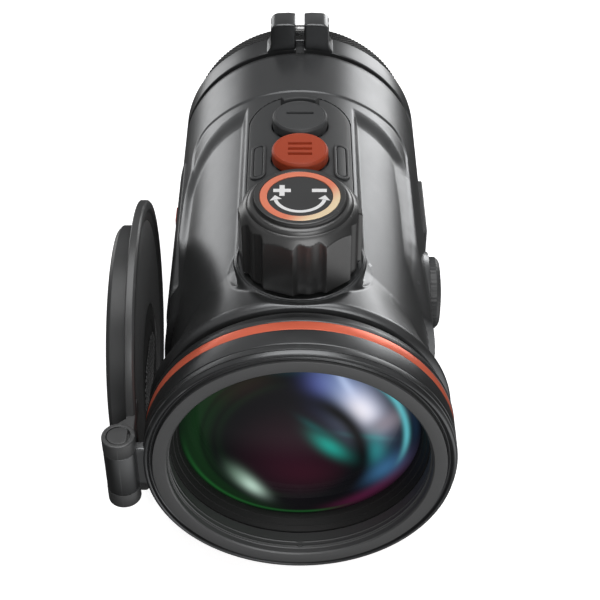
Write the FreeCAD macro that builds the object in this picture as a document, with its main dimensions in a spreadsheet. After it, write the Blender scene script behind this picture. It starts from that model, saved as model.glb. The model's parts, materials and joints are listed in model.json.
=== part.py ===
"""Thermal imaging camera with a hinged lens cap and a rear clamp ring.

Frame: millimetres, +Z up.  The origin is the centre of the tripod socket's mouth, on the flat
base face (z = 0).  The optical axis runs along Y at the height axis_height; the objective looks
towards -Y and the clamp ring is at the +Y end.  +X is the side of the port flap.

Turned pieces are drawn in a local frame whose Z axis is the optical axis, measured from the
front face of the objective; a station is a distance along it.
"""
import FreeCAD, Part
import math
import os
import re
import Sketcher

V = FreeCAD.Vector
X_AXIS = V(1, 0, 0)
Y_AXIS = V(0, 1, 0)
Z_AXIS = V(0, 0, 1)

doc = FreeCAD.newDocument("thermal_camera")

# ---------------------------------------------------------------- driving dimensions

DRIVING = {
    # frame
    "axis_height": 36.5,        # optical axis over the base face
    "front_y": -62.0,           # front face of the objective
    # objective head
    "head_radius": 34.0,
    "bore_radius": 28.67,
    "ring_front": 3.15,         # front station of the focus ring
    "ring_rear": 13.2,
    "accent_front": 7.4,
    "accent_rear": 9.95,
    "accent_depth": 0.9,
    "barrel_radius": 31.8,
    "lens_radius": 28.9,
    "lens_vertex": 5.65,
    "lens_curve": 75.0,
    "lens_rear_curve": 95.0,
    "lens_thick": 7.0,
    # housing
    "body_radius": 31.6,
    "floor_radius": 30.0,       # floor of the two long side recesses
    "lip_radius": 33.7,
    "body_front": 15.2,
    "body_rear": 117.9,
    "inner_radius": 28.5,
    "deck_half": 13.9,          # half width of the raised deck, where it meets the cylinder
    "recess_rear": 95.5,
    # controls
    "panel_half": 12.5,
    "panel_rear": 96.8,
    "panel_front": 48.4,
    "panel_thick": 1.7,
    "button_radius": 6.75,
    "button_top": 33.9,         # over the optical axis
    "mode_station": 71.2,
    "power_station": 85.2,
    "knob_station": 33.8,
    "knob_radius": 13.4,
    "knob_bottom": 31.0,
    "knob_top": 48.0,
    "seat_height": 30.6,
    "seat_radius": 13.95,
    # rear clamp
    "clamp_front": 119.6,
    "clamp_rear": 127.0,
    "ear_top": 39.0,
    "ear_width": 6.5,
    "slot_half": 1.15,
    "adapter_radius": 29.9,
    "adapter_bore": 25.0,
    "adapter_rear": 134.5,
    # lens cap, parked open beside the body
    "hinge_x": -38.4,
    "hinge_station": 0.9,
    "hinge_radius": 3.6,
    "hinge_half": 9.6,
    "knuckle_half": 5.7,
    "pin_radius": 1.6,
    "cap_radius": 34.0,
    "inlay_drop": 8.5,
    "cap_thick": 2.1,
    "cap_offset": 3.2,          # outer face from the hinge axis
    "plug_radius": 28.1,
    "plug_depth": 4.9,
    # base
    "base_half": 13.0,
    "base_length": 46.0,
    "socket_radius": 3.175,
    "socket_depth": 6.5,
}

sizes = doc.addObject("Spreadsheet::Sheet", "Sizes")
for row, (alias, number) in enumerate(DRIVING.items(), start=1):
    sizes.set(f"A{row}", alias)
    sizes.set(f"B{row}", str(number))
    sizes.setAlias(f"B{row}", alias)
doc.recompute()

ALIASES = re.compile(r"\b(" + "|".join(sorted(DRIVING, key=len, reverse=True)) + r")\b")


def bound(rule):
    """The rule with each driving dimension written as a cell of the sheet."""
    return ALIASES.sub(r"Sizes.\1", str(rule))


def bind(thing, **rules):
    """Bind properties to rules; two underscores stand for a dot in a property's name."""
    for name, rule in rules.items():
        thing.setExpression(name.replace("__", "."), bound(rule))


def place(thing, x=0, y=0, z=0, turn=None):
    """Put a thing at x, y, z (rules or numbers), turned by a rotation."""
    if turn:
        thing.Placement = FreeCAD.Placement(V(0, 0, 0), turn)
    bind(thing, Placement__Base__x=x, Placement__Base__y=y, Placement__Base__z=z)
    return thing


ALONG_AXIS = FreeCAD.Rotation(X_AXIS, -90)      # local Z to +Y
SIDEWAYS = FreeCAD.Rotation(Y_AXIS, 90)         # local Z to +X
STANDING = FreeCAD.Rotation(X_AXIS, 90)         # local Y to +Z, local Z to -Y


def on_axis(thing, station=0, x=0, height=0):
    """Put a thing whose local Z runs along the optical axis, at a station."""
    return place(thing, x, f"front_y + {station}", f"axis_height + {height}", ALONG_AXIS)


def upright(thing, station, x=0, height=0):
    """Put a thing whose local Z stays vertical; height is counted from the optical axis."""
    return place(thing, x, f"front_y + {station}", f"axis_height + {height}")


def sideways(thing, x, station, height=0):
    """Put a thing whose local Z runs along +X."""
    return place(thing, x, f"front_y + {station}", f"axis_height + {height}", SIDEWAYS)


def rod(name, radius, height, angle=360):
    thing = doc.addObject("Part::Cylinder", name)
    bind(thing, Radius=radius, Height=height)
    thing.Angle = angle
    return thing


def block(name, length, width, height):
    thing = doc.addObject("Part::Box", name)
    bind(thing, Length=length, Width=width, Height=height)
    return thing


def centred_block(name, x, station, height, half_x, half_y, half_z):
    """A block by its centre and half sizes, square to the frame."""
    thing = block(name, f"2 * ({half_x})", f"2 * ({half_y})", f"2 * ({half_z})")
    return place(thing, f"{x} - ({half_x})", f"front_y + {station} - ({half_y})",
                 f"axis_height + {height} - ({half_z})")


def cone(name, lower, upper, height):
    thing = doc.addObject("Part::Cone", name)
    bind(thing, Radius1=lower, Radius2=upper, Height=height)
    return thing


def ball(name, radius):
    thing = doc.addObject("Part::Sphere", name)
    bind(thing, Radius=radius)
    return thing


def fused(name, *pieces):
    thing = doc.addObject("Part::MultiFuse", name)
    thing.Shapes = list(pieces)
    thing.Refine = True
    return thing


def common(name, first, second):
    thing = doc.addObject("Part::Common", name)
    thing.Base = first
    thing.Tool = second
    return thing


def cut(name, base, *tools):
    thing = doc.addObject("Part::Cut", name)
    thing.Base = base
    thing.Tool = tools[0] if len(tools) == 1 else fused(name + "_tools", *tools)
    return thing


def fix_corner(sketch, index, kind, rule):
    """Hold one coordinate of a corner from the sketch's origin by a rule."""
    if kind == "DistanceX" and rule == "0":
        sketch.addConstraint(Sketcher.Constraint("PointOnObject", index, 1, -2))
    elif rule == "0":
        sketch.addConstraint(Sketcher.Constraint("PointOnObject", index, 1, -1))
    else:
        number = sketch.addConstraint(Sketcher.Constraint(kind, -1, 1, index, 1, 20.0))
        sketch.setExpression(f"Constraints[{number}]", bound(rule))


def turned(name, outline):
    """A body turned about its own Z axis from a closed outline of (station, radius) rules."""
    body = doc.addObject("PartDesign::Body", name)
    sketch = body.newObject("Sketcher::SketchObject", name + "_outline")
    plane = [item for item in body.Origin.OriginFeatures if item.Role == "XZ_Plane"][0]
    sketch.AttachmentSupport = (plane, [""])
    sketch.MapMode = "FlatFace"
    count = len(outline)
    start = [V(20 + 5 * math.cos(6 * index / count), 20 + 5 * math.sin(6 * index / count), 0)
             for index in range(count)]
    for index in range(count):
        sketch.addGeometry(Part.LineSegment(start[index], start[(index + 1) % count]), False)
    for index in range(count):
        sketch.addConstraint(Sketcher.Constraint("Coincident", index, 2, (index + 1) % count, 1))
    for index, (station, radius) in enumerate(outline):
        fix_corner(sketch, index, "DistanceX", radius)
        fix_corner(sketch, index, "DistanceY", station)
    turn = body.newObject("PartDesign::Revolution", name + "_turn")
    turn.Profile = sketch
    turn.ReferenceAxis = (sketch, ["V_Axis"])
    turn.Angle = 360
    sketch.Visibility = False
    return body


def ring(name, front, rear, outer, inner):
    """A plain tube between two stations on the optical axis."""
    return on_axis(turned(name, [(front, inner), (rear, inner), (rear, outer), (front, outer)]))


parts = []


def part(thing, label):
    """Take a finished thing as a sub-part; its label names the file and the node."""
    thing.Label = label
    parts.append(thing)
    return thing


# ---------------------------------------------------------------- objective head

def make_front_bezel():
    """Rounded front ring with the middle hinge knuckle on its left."""
    rim = on_axis(turned("bezel_rim", [
        ("1.2", "barrel_radius + 0.05"),
        ("0.9", "head_radius - 1.6"),
        ("0.3", "head_radius - 1.15"),
        ("0.25", "head_radius - 0.75"),
        ("0.9", "head_radius - 0.2"),
        ("1.4", "head_radius"),
        ("ring_front - 0.15", "head_radius"),
        ("ring_front - 0.15", "barrel_radius + 0.6"),
        ("6", "barrel_radius + 0.6"),
        ("6", "barrel_radius + 0.05"),
    ]))
    knuckle = upright(rod("bezel_knuckle", "hinge_radius", "2 * knuckle_half"),
                      "hinge_station", "hinge_x", "(-knuckle_half)")
    bridge = place(block("bezel_bridge", "5.2", "2.2", "2 * knuckle_half"),
                   "hinge_x + 0.6", "front_y + 0.5", "axis_height - knuckle_half")
    room = on_axis(rod("bezel_room", "barrel_radius + 0.6", "6"), "0.45")
    hole = upright(rod("bezel_pin_hole", "pin_radius", "2 * hinge_half"),
                   "hinge_station", "hinge_x", "(-hinge_half)")
    arm = cut("bezel_arm", fused("bezel_hinge", knuckle, bridge), room)
    part(cut("bezel", fused("bezel_whole", rim, arm), hole), "front_bezel")


def make_retaining_ring():
    """Flat-faced ring that screws into the barrel and closes the objective."""
    part(on_axis(turned("retainer", [
        ("0.3", "bore_radius"),
        ("0", "bore_radius + 0.3"),
        ("0", "barrel_radius - 0.05"),
        ("2.6", "barrel_radius - 0.05"),
        ("2.6", "30.4"),
        ("6", "30.4"),
        ("6", "bore_radius - 0.17"),
        ("1.7", "bore_radius - 0.17"),
        ("1.5", "bore_radius"),
    ])), "retaining_ring")


def make_focus_ring():
    """The turning head band, with a groove for the accent ring."""
    part(on_axis(turned("focus", [
        ("ring_front", "barrel_radius + 0.7"),
        ("ring_front", "head_radius - 0.25"),
        ("ring_front + 0.25", "head_radius"),
        ("accent_front", "head_radius"),
        ("accent_front", "head_radius - accent_depth"),
        ("accent_rear", "head_radius - accent_depth"),
        ("accent_rear", "head_radius"),
        ("ring_rear - 2.2", "head_radius"),
        ("ring_rear - 0.7", "head_radius - 0.6"),
        ("ring_rear", "head_radius - 0.8"),
        ("ring_rear", "barrel_radius + 0.05"),
        ("6.3", "barrel_radius + 0.05"),
        ("6.3", "barrel_radius + 0.7"),
    ])), "focus_ring")
    part(ring("accent", "accent_front", "accent_rear", "head_radius",
              "head_radius - accent_depth"), "focus_accent_ring")


def make_objective():
    """Barrel, baffle and the large front lens."""
    part(on_axis(turned("barrel", [
        ("2.7", "30.5"),
        ("2.7", "barrel_radius"),
        ("body_front - 0.3", "barrel_radius"),
        ("body_front - 0.3", "30.6"),
        ("18.5", "30.6"),
        ("18.5", "27.6"),
        ("26", "27.6"),
        ("26", "25.6"),
        ("22", "25.6"),
        ("17.3", "26.4"),
        ("17.3", "lens_radius + 0.1"),
        ("6.1", "lens_radius + 0.1"),
        ("6.1", "30.5"),
    ])), "objective_barrel")
    part(on_axis(turned("baffle", [
        ("6.2", "bore_radius - 0.5"),
        ("6.2", "lens_radius"),
        ("10.4", "lens_radius"),
        ("10.4", "26.6"),
    ])), "lens_baffle")
    blank = on_axis(rod("lens_blank", "lens_radius", "12"), "lens_vertex - 0.5")
    front = on_axis(ball("lens_front_curve", "lens_curve"), "lens_vertex + lens_curve")
    rear = on_axis(ball("lens_rear_curve_tool", "lens_rear_curve"),
                   "lens_vertex + lens_thick + lens_rear_curve")
    part(cut("front_lens_cut", common("front_lens_round", blank, front), rear), "front_lens")


def make_focus_cell():
    """The inner lens cell that slides when the focus ring turns, and the frame it runs in."""
    part(ring("cell", "44.5", "53.5", "19.95", "16.05"), "focus_cell")
    blank = on_axis(rod("inner_blank", "16.05", "8"), "45")
    face = on_axis(ball("inner_face", "42"), "45.5 + 42")
    back = on_axis(ball("inner_back", "42"), "52.5 - 42")
    part(common("inner_lens_cut", common("inner_lens_round", blank, face), back), "inner_lens")
    part(on_axis(turned("frame", [
        ("42.5", "20"),
        ("55", "20"),
        ("55", "22.5"),
        ("47.5", "22.5"),
        ("47.5", "inner_radius - 0.05"),
        ("44", "inner_radius - 0.05"),
        ("44", "22.5"),
        ("42.5", "22.5"),
    ])), "optics_frame")


# ---------------------------------------------------------------- housing

def make_housing():
    """The cast body: bell, raised deck, two long side recesses, collar and pockets."""
    core = on_axis(turned("housing_core", [
        ("body_front", "30.7"),
        ("body_front", "lip_radius - 0.4"),
        ("body_front + 0.5", "lip_radius"),
        ("body_front + 2.4", "lip_radius"),
        ("body_front + 4.4", "lip_radius - 1.2"),
        ("body_front + 7", "floor_radius + 1.1"),
        ("body_front + 10.5", "floor_radius + 0.2"),
        ("body_front + 14", "floor_radius"),
        ("recess_rear - 5", "floor_radius"),
        ("recess_rear", "body_radius - 0.3"),
        ("recess_rear + 3.4", "body_radius - 0.3"),
        ("recess_rear + 4.4", "body_radius"),
        ("body_rear - 0.4", "body_radius"),
        ("body_rear", "body_radius - 0.4"),
        ("body_rear", "inner_radius"),
        ("42", "inner_radius"),
        ("40", "27.7"),
        ("18.7", "27.7"),
        ("18.7", "30.7"),
    ]))
    skin = ring("housing_skin", "body_front + 3", "recess_rear + 2", "body_radius", "28.6")
    deck = doc.addObject("Part::Wedge", "housing_deck")
    bind(deck, Xmin="(-deck_half) - 2.6", Xmax="deck_half + 2.6", X2min="(-deck_half) + 2.1",
         X2max="deck_half - 2.1", Ymin="0", Ymax="8", Zmin="0", Zmax="recess_rear + 1.5 - knob_station",
         Z2min="0", Z2max="recess_rear + 1.5 - knob_station")
    place(deck, 0, "front_y + recess_rear + 1.5", "axis_height + 24", STANDING)
    boss = upright(cone("housing_boss", "seat_radius + 2", "seat_radius", "seat_height - 25"),
                   "knob_station", 0, 25)
    sides_skin = ring("housing_sides_skin", "37", "recess_rear + 2", "body_radius", "28.6")
    sector = place(rod("housing_sector", "40", "80", 120), 0, "front_y + 110", "axis_height",
                   STANDING.multiply(FreeCAD.Rotation(Z_AXIS, 30)))
    sides = cut("housing_sides", sides_skin, sector)
    solid = fused("housing_solid", core, common("housing_deck_part", skin, deck), boss, sides)

    tools = [
        on_axis(rod("bore_front", "30.7", "3.9"), "body_front - 0.4"),
        on_axis(rod("bore_neck", "27.7", "26.5"), "18.5"),
        on_axis(rod("bore_main", "inner_radius", "body_rear - 41"), "42"),
        upright(rod("knob_seat", "seat_radius", "4"), "knob_station", 0, "seat_height"),
        upright(rod("knob_sink", "knob_radius + 0.25", "1"), "knob_station", 0, "seat_height - 0.4"),
        upright(rod("encoder_hole", "3.6", "8"), "knob_station", 0, "25"),
        panel_form("panel_pocket", "panel_thick + 0.05", "0.1"),
        upright(rod("power_hole", "2.6", "8"), "power_station", 0, "25"),
        upright(rod("mode_hole", "2.6", "8"), "mode_station", 0, "25"),
        sideways(rod("side_cap_seat", "9.1", "6"), "30.5", "58"),
        sideways(rod("side_cap_hole", "6.7", "12"), "24", "58"),
        centred_block("flap_pocket", "32", "87", "0", "1.5", "11.3", "5.35"),
        centred_block("port_window", "30", "87", "0", "3", "4.8", "1.9"),
        cover_form("cover_pocket", "0.1"),
        place(rod("socket_pocket", "socket_radius + 1.65", "socket_depth + 0.1"), 0, 0, 0),
    ]
    part(cut("housing_cut", solid, *tools), "housing")


def panel_form(name, thick, margin):
    """The curved inlay on the deck: a sleeve cut to a plate with two rounded rear corners."""
    sleeve = ring(name + "_sleeve", "40", "105", "body_radius", f"body_radius - ({thick})")
    plate = upright(block(name + "_plate", f"2 * (panel_half + {margin})",
                          f"panel_rear - panel_front + 2 * {margin}", "8"),
                    f"panel_front - {margin}", f"(-panel_half) - {margin}", "26")
    doc.recompute()
    rounded = doc.addObject("Part::Fillet", name + "_rounded")
    rounded.Base = plate
    rear = max(vertex.Y for vertex in plate.Shape.Vertexes)
    picks = []
    for number, edge in enumerate(plate.Shape.Edges, start=1):
        middle = edge.CenterOfMass
        first, last = edge.Vertexes
        if abs(first.Z - last.Z) > 1 and abs(middle.y - rear) < 0.01:
            picks.append((number, 9.5, 9.5))
    rounded.Edges = picks
    return common(name, sleeve, rounded)


def cover_form(name, margin):
    """The curved cover let into the left side."""
    sleeve = ring(name + "_sleeve", f"46 - {margin}", f"99 + {margin}", "body_radius + 0.35",
                  f"body_radius - 1.2 - {margin}")
    window = centred_block(name + "_window", "(-31)", "70", "0", "5", "40", f"11 + {margin}")
    return common(name, sleeve, window)


def make_covers():
    """Left cover with its accent, and the screws that hold it."""
    accent = centred_block("accent_bar_form", "(-31.85)", "88", "0", "0.55", "3", "1.4")
    slot = centred_block("accent_bar_slot", "(-31.95)", "88", "0", "0.65", "3.05", "1.45")
    holes = []
    screws = []
    corners = (("a", 49, 8), ("b", 49, -8), ("c", 96, 8), ("d", 96, -8))
    for tag, station, height in corners:
        lean = math.asin(height / DRIVING["body_radius"])
        outwards = V(-math.cos(lean), 0, math.sin(lean))
        turn = FreeCAD.Rotation(Z_AXIS, outwards)
        for kind, radius, start, length, group in (("hole", 1.15, 30, 3, holes),
                                                   ("screw", 1.1, 30.45, 1.35, screws)):
            thing = rod(f"cover_{kind}_{tag}", radius, length)
            place(thing, outwards.x * start, f"front_y + {station}",
                  f"axis_height + {outwards.z * start}", turn)
            group.append(thing)
    part(cut("left_cover_cut", cover_form("left_cover_form", "0"), slot, *holes), "left_cover")
    part(accent, "side_accent")
    compound = doc.addObject("Part::Compound", "cover_screw_group")
    compound.Links = screws
    part(compound, "cover_screws")


def make_base():
    """Flat foot with the tripod socket, and its screws."""
    pad = place(block("base_pad", "2 * base_half", "base_length", "axis_height - 20"),
                "(-base_half)", "(-base_length) / 2", "0")
    body_room = on_axis(rod("base_room", "body_radius", "base_length + 4"),
                        "(-front_y) - base_length / 2 - 2")
    socket = place(rod("base_socket_hole", "socket_radius + 1.6", "socket_depth"), 0, 0, 0)
    holes = []
    screws = []
    for tag, side in (("front", -1), ("rear", 1)):
        holes.append(place(rod(f"base_hole_{tag}", "1.6", "12"), 0, f"{side} * 17", 0))
        head = place(rod(f"base_screw_head_{tag}", "1.55", "1.2"), 0, f"{side} * 17", "0.4")
        shank = place(rod(f"base_screw_shank_{tag}", "1.1", "3.4"), 0, f"{side} * 17", "1.4")
        screws.append(fused(f"base_screw_{tag}", head, shank))
    part(cut("base_cut", pad, body_room, socket, *holes), "base_plate")
    insert = place(rod("insert_body", "socket_radius + 1.6", "socket_depth"), 0, 0, 0)
    thread = place(rod("insert_bore", "socket_radius", "socket_depth"), 0, 0, 0)
    part(cut("insert_cut", insert, thread), "tripod_insert")
    group = doc.addObject("Part::Compound", "base_screw_group")
    group.Links = screws
    part(group, "base_screws")


# ---------------------------------------------------------------- controls

def make_controls():
    """Control panel with its two finger ridges, and the two sprung buttons."""
    ridges = []
    for tag, side in (("left", -1), ("right", 1)):
        sleeve = ring(f"ridge_{tag}_sleeve", "60", "82", "body_radius + 0.35", "body_radius - 0.5")
        slab = centred_block(f"ridge_{tag}_slab", side * 9.95, "71", "30", "1.55", "5.4", "4")
        ends = [upright(rod(f"ridge_{tag}_end_{end}", "1.55", "8"), station, side * 9.95, "26")
                for end, station in (("front", "65.6"), ("rear", "76.4"))]
        ridges.append(common(f"ridge_{tag}", sleeve, fused(f"ridge_{tag}_pill", slab, *ends)))
    plate = fused("panel_whole", panel_form("panel_form", "panel_thick", "0"), *ridges)
    holes = [upright(rod(f"panel_hole_{tag}", "button_radius + 0.2", "12"), station, 0, "25")
             for tag, station in (("power", "power_station"), ("mode", "mode_station"))]
    part(cut("panel_cut", plate, *holes), "control_panel")
    for tag in ("power", "mode"):
        station = f"{tag}_station"
        cap = upright(rod(f"{tag}_cap", "button_radius", "2.2"), station, 0, "button_top - 3")
        crown = upright(cone(f"{tag}_crown", "button_radius", "button_radius - 0.8", "0.8"),
                        station, 0, "button_top - 0.8")
        stem = upright(rod(f"{tag}_stem", "2.2", "2.7"), station, 0, "button_top - 5.6")
        part(fused(f"{tag}_key", cap, crown, stem), f"{tag}_button")


def make_knob():
    """Fluted rotary knob, its disc and accent ring, and the encoder below it."""
    body = upright(turned("knob_form", [
        ("0", "3.05"),
        ("0", "knob_radius - 0.2"),
        ("0.3", "knob_radius"),
        ("knob_top - knob_bottom - 4.4", "knob_radius"),
        ("knob_top - knob_bottom - 2.5", "knob_radius - 1.4"),
        ("knob_top - knob_bottom - 1.4", "knob_radius - 1.9"),
        ("knob_top - knob_bottom - 0.9", "knob_radius - 2.6"),
        ("knob_top - knob_bottom", "knob_radius - 3"),
        ("knob_top - knob_bottom", "8.6"),
        ("knob_top - knob_bottom - 1.2", "8.6"),
        ("knob_top - knob_bottom - 1.2", "3.05"),
    ]), "knob_station", 0, "knob_bottom")
    flutes = []
    count = 6
    for index in range(count):
        angle = math.radians(-80 + 360 / count * index)
        flute = rod(f"knob_flute_{index}", "12", "14.2")
        reach = 24.6
        upright(flute, f"knob_station + {reach * math.sin(angle)}", reach * math.cos(angle),
                "knob_bottom - 0.5")
        flutes.append(flute)
    part(cut("knob_cut", body, *flutes), "knob")
    part(upright(turned("knob_accent_form", [
        ("0", "6.95"),
        ("1.2", "6.95"),
        ("1.2", "8.55"),
        ("0", "8.55"),
    ]), "knob_station", 0, "knob_top - 1.2"), "knob_accent_ring")
    part(upright(rod("knob_disc_form", "6.9", "1.1"), "knob_station", 0, "knob_top - 1.2"),
         "knob_disc")
    shaft = upright(rod("shaft_form", "3", "knob_top - 1.3 - 25.6"), "knob_station", 0, "25.6")
    part(shaft, "encoder_shaft")
    bush = upright(rod("encoder_bush", "3.55", "3.4"), "knob_station", 0, "25.2")
    case = centred_block("encoder_case", 0, "knob_station", "22.6", "6", "6", "2.6")
    well = upright(rod("encoder_well", "3.05", "8"), "knob_station", 0, "23.6")
    part(cut("encoder_cut", fused("encoder_form", bush, case), well), "encoder")
    part(upright(rod("plunger_form", "2.9", "1.1"), "knob_station", 0, "24.45"),
         "encoder_plunger")


# ---------------------------------------------------------------- electronics and rear optics

def make_electronics():
    """Boards, switches, detector, shutter, display, relay lens, battery and sockets."""
    part(centred_block("key_board_form", 0, "78", "24.9", "9", "16", "0.5"), "key_board")
    switches = []
    for tag in ("power", "mode"):
        base = centred_block(f"{tag}_switch_base", 0, f"{tag}_station", "26", "2.8", "2.8", "0.6")
        dome = upright(rod(f"{tag}_switch_dome", "1.5", "0.8"), f"{tag}_station", 0, "26.6")
        switches.append(fused(f"{tag}_switch", base, dome))
    group = doc.addObject("Part::Compound", "switch_group")
    group.Links = switches
    part(group, "key_switches")

    board = centred_block("board_form", 0, "91.5", "(-14.4)", "19", "15.5", "0.8")
    chips = [centred_block(f"board_chip_{index}", x, station, "(-13)", "3.5", half, "0.6")
             for index, (x, station, half) in enumerate(((-15, 82, 4), (15, 84, 3), (-15, 101, 4)))]
    part(fused("board_whole", board, *chips), "main_board")
    part(centred_block("battery_form", 0, "91.5", "(-20.2)", "13.5", "15.5", "3.6"),
         "battery_pack")

    bracket = ring("bracket_form", "72", "74.5", "inner_radius - 0.05", "5")
    notch = centred_block("bracket_notch", 0, "73.2", "27.4", "9.5", "2", "3")
    part(cut("bracket_cut", bracket, notch), "detector_bracket")
    carrier = centred_block("detector_carrier", 0, "70", "0", "11", "2", "11")
    package = centred_block("detector_package", 0, "67.2", "0", "8", "0.8", "8")
    part(fused("detector_form", carrier, package), "thermal_detector")
    blade = on_axis(rod("shutter_leaf", "8.4", "0.4"), "64.4", 0, 0)
    arm = centred_block("shutter_arm", 0, "64.6", "10", "1.6", "0.2", "5")
    hub = on_axis(rod("shutter_hub", "1.8", "1.2"), "64", 0, "14.5")
    bore = on_axis(rod("shutter_bore", "0.8", "4"), "63", 0, "14.5")
    part(cut("shutter_cut", fused("shutter_form", blade, arm, hub), bore), "shutter_blade")
    motor = on_axis(rod("shutter_motor_form", "3.4", "6"), "65.6", 0, "17.2")
    spindle = on_axis(rod("shutter_spindle", "0.75", "4"), "62.2", 0, "14.5")
    part(fused("shutter_motor_whole", motor, spindle), "shutter_motor")

    part(centred_block("display_form", 0, "95.4", "0", "10", "1.5", "8"), "display_panel")
    part(on_axis(turned("relay_form", [
        ("97", "10.6"),
        ("111", "10.6"),
        ("111", "inner_radius - 0.05"),
        ("108.5", "inner_radius - 0.05"),
        ("108.5", "12.6"),
        ("97", "12.6"),
    ])), "relay_cell")
    blank = on_axis(rod("relay_blank", "10.6", "7"), "101")
    face = on_axis(ball("relay_face", "26"), "101.5 + 26")
    back = on_axis(ball("relay_back", "26"), "107.5 - 26")
    part(common("relay_lens_cut", common("relay_round", blank, face), back), "relay_lens")

    part(centred_block("usb_form", "26.2", "87", "0", "2.6", "4.4", "1.6"), "usb_socket")
    part(sideways(rod("data_form", "4.2", "3.6"), "23.7", "59"), "data_socket")


# ---------------------------------------------------------------- side fittings

def make_side_fittings():
    """Port flap and the round screw cap on the right."""
    part(centred_block("flap_form", "31.4", "87", "0", "0.85", "11", "5.1"), "port_flap")
    head = sideways(turned("side_cap_head", [
        ("0", "0"),
        ("3.6", "0"),
        ("3.6", "5.4"),
        ("3.3", "5.4"),
        ("3.3", "7.9"),
        ("2.6", "8.8"),
        ("0", "8.8"),
    ]), "30.6", "58")
    stem = sideways(rod("side_cap_stem", "6.6", "3"), "27.6", "58")
    slot = centred_block("side_cap_slot", "34.2", "58", "0", "0.8", "4.4", "0.6")
    part(cut("side_cap_cut", fused("side_cap_form", head, stem), slot), "side_cap")


# ---------------------------------------------------------------- rear clamp

def make_rear():
    """Rear flange with its window, split clamp ring with ears, screw, and adapter ring."""
    part(on_axis(turned("rear_flange_form", [
        ("113", "22.5"),
        ("113", "inner_radius - 0.05"),
        ("body_rear + 0.1", "inner_radius - 0.05"),
        ("body_rear + 0.1", "30.6"),
        ("clamp_front - 0.1", "30.6"),
        ("clamp_front - 0.1", "22.5"),
    ])), "rear_flange")
    part(on_axis(rod("window_form", "22.45", "2"), "114.5"), "rear_window")

    band = on_axis(turned("clamp_band", [
        ("clamp_front", "28.6"),
        ("clamp_front", "body_radius - 0.3"),
        ("clamp_front + 0.3", "body_radius"),
        ("clamp_rear - 0.5", "body_radius"),
        ("clamp_rear", "body_radius - 0.5"),
        ("clamp_rear", "28.6"),
    ]))
    ears = centred_block("clamp_ears", 0, "clamp_front + 3.1", "(28.9 + ear_top) / 2",
                         "slot_half + ear_width", "3.1", "(ear_top - 28.9) / 2")
    doc.recompute()
    top = max(vertex.Z for vertex in ears.Shape.Vertexes)
    rounded = doc.addObject("Part::Fillet", "clamp_ears_rounded")
    rounded.Base = ears
    rounded.Edges = [(number, 2.0, 2.0) for number, edge in enumerate(ears.Shape.Edges, start=1)
                     if abs(edge.CenterOfMass.z - top) < 0.01
                     and abs(edge.Vertexes[0].Y - edge.Vertexes[1].Y) > 1]
    slit = centred_block("clamp_slit", 0, "clamp_front + 3.5", "34", "slot_half", "6", "8")
    way = sideways(rod("clamp_way", "1.6", "20"), "(-10)", "clamp_front + 3.1", "35.4")
    seat = sideways(rod("clamp_seat", "2.5", "3"), "slot_half + ear_width - 1.9",
                    "clamp_front + 3.1", "35.4")
    seat_nut = sideways(rod("clamp_nut_seat", "2.5", "3"), "(-slot_half) - ear_width - 1.1",
                        "clamp_front + 3.1", "35.4")
    part(cut("clamp_cut", fused("clamp_whole", band, rounded), slit, way, seat, seat_nut),
         "clamp_ring")
    head = sideways(rod("clamp_screw_head", "2.4", "1.7"), "slot_half + ear_width - 1.8",
                    "clamp_front + 3.1", "35.4")
    shank = sideways(rod("clamp_screw_shank", "1.5", "2 * (slot_half + ear_width) - 2.1"),
                     "(-slot_half) - ear_width + 0.3", "clamp_front + 3.1", "35.4")
    socket = sideways(rod("clamp_screw_socket", "1.2", "2"), "slot_half + ear_width - 1.1",
                      "clamp_front + 3.1", "35.4")
    part(cut("clamp_screw_cut", fused("clamp_screw_form", head, shank), socket), "clamp_screw")
    nut = sideways(rod("clamp_nut_form", "2.45", "1.7"), "(-slot_half) - ear_width + 0.1",
                   "clamp_front + 3.1", "35.4")
    nut_bore = sideways(rod("clamp_nut_bore", "1.55", "3"), "(-slot_half) - ear_width - 0.5",
                        "clamp_front + 3.1", "35.4")
    part(cut("clamp_nut_cut", nut, nut_bore), "clamp_nut")

    part(on_axis(turned("adapter_form", [
        ("clamp_front + 0.3", "adapter_bore"),
        ("clamp_front + 0.3", "28.5"),
        ("clamp_rear + 0.3", "28.5"),
        ("clamp_rear + 0.3", "adapter_radius - 0.3"),
        ("clamp_rear + 0.6", "adapter_radius"),
        ("adapter_rear - 0.5", "adapter_radius"),
        ("adapter_rear", "adapter_radius - 0.5"),
        ("adapter_rear", "adapter_bore"),
    ])), "adapter_ring")


# ---------------------------------------------------------------- lens cap

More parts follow.
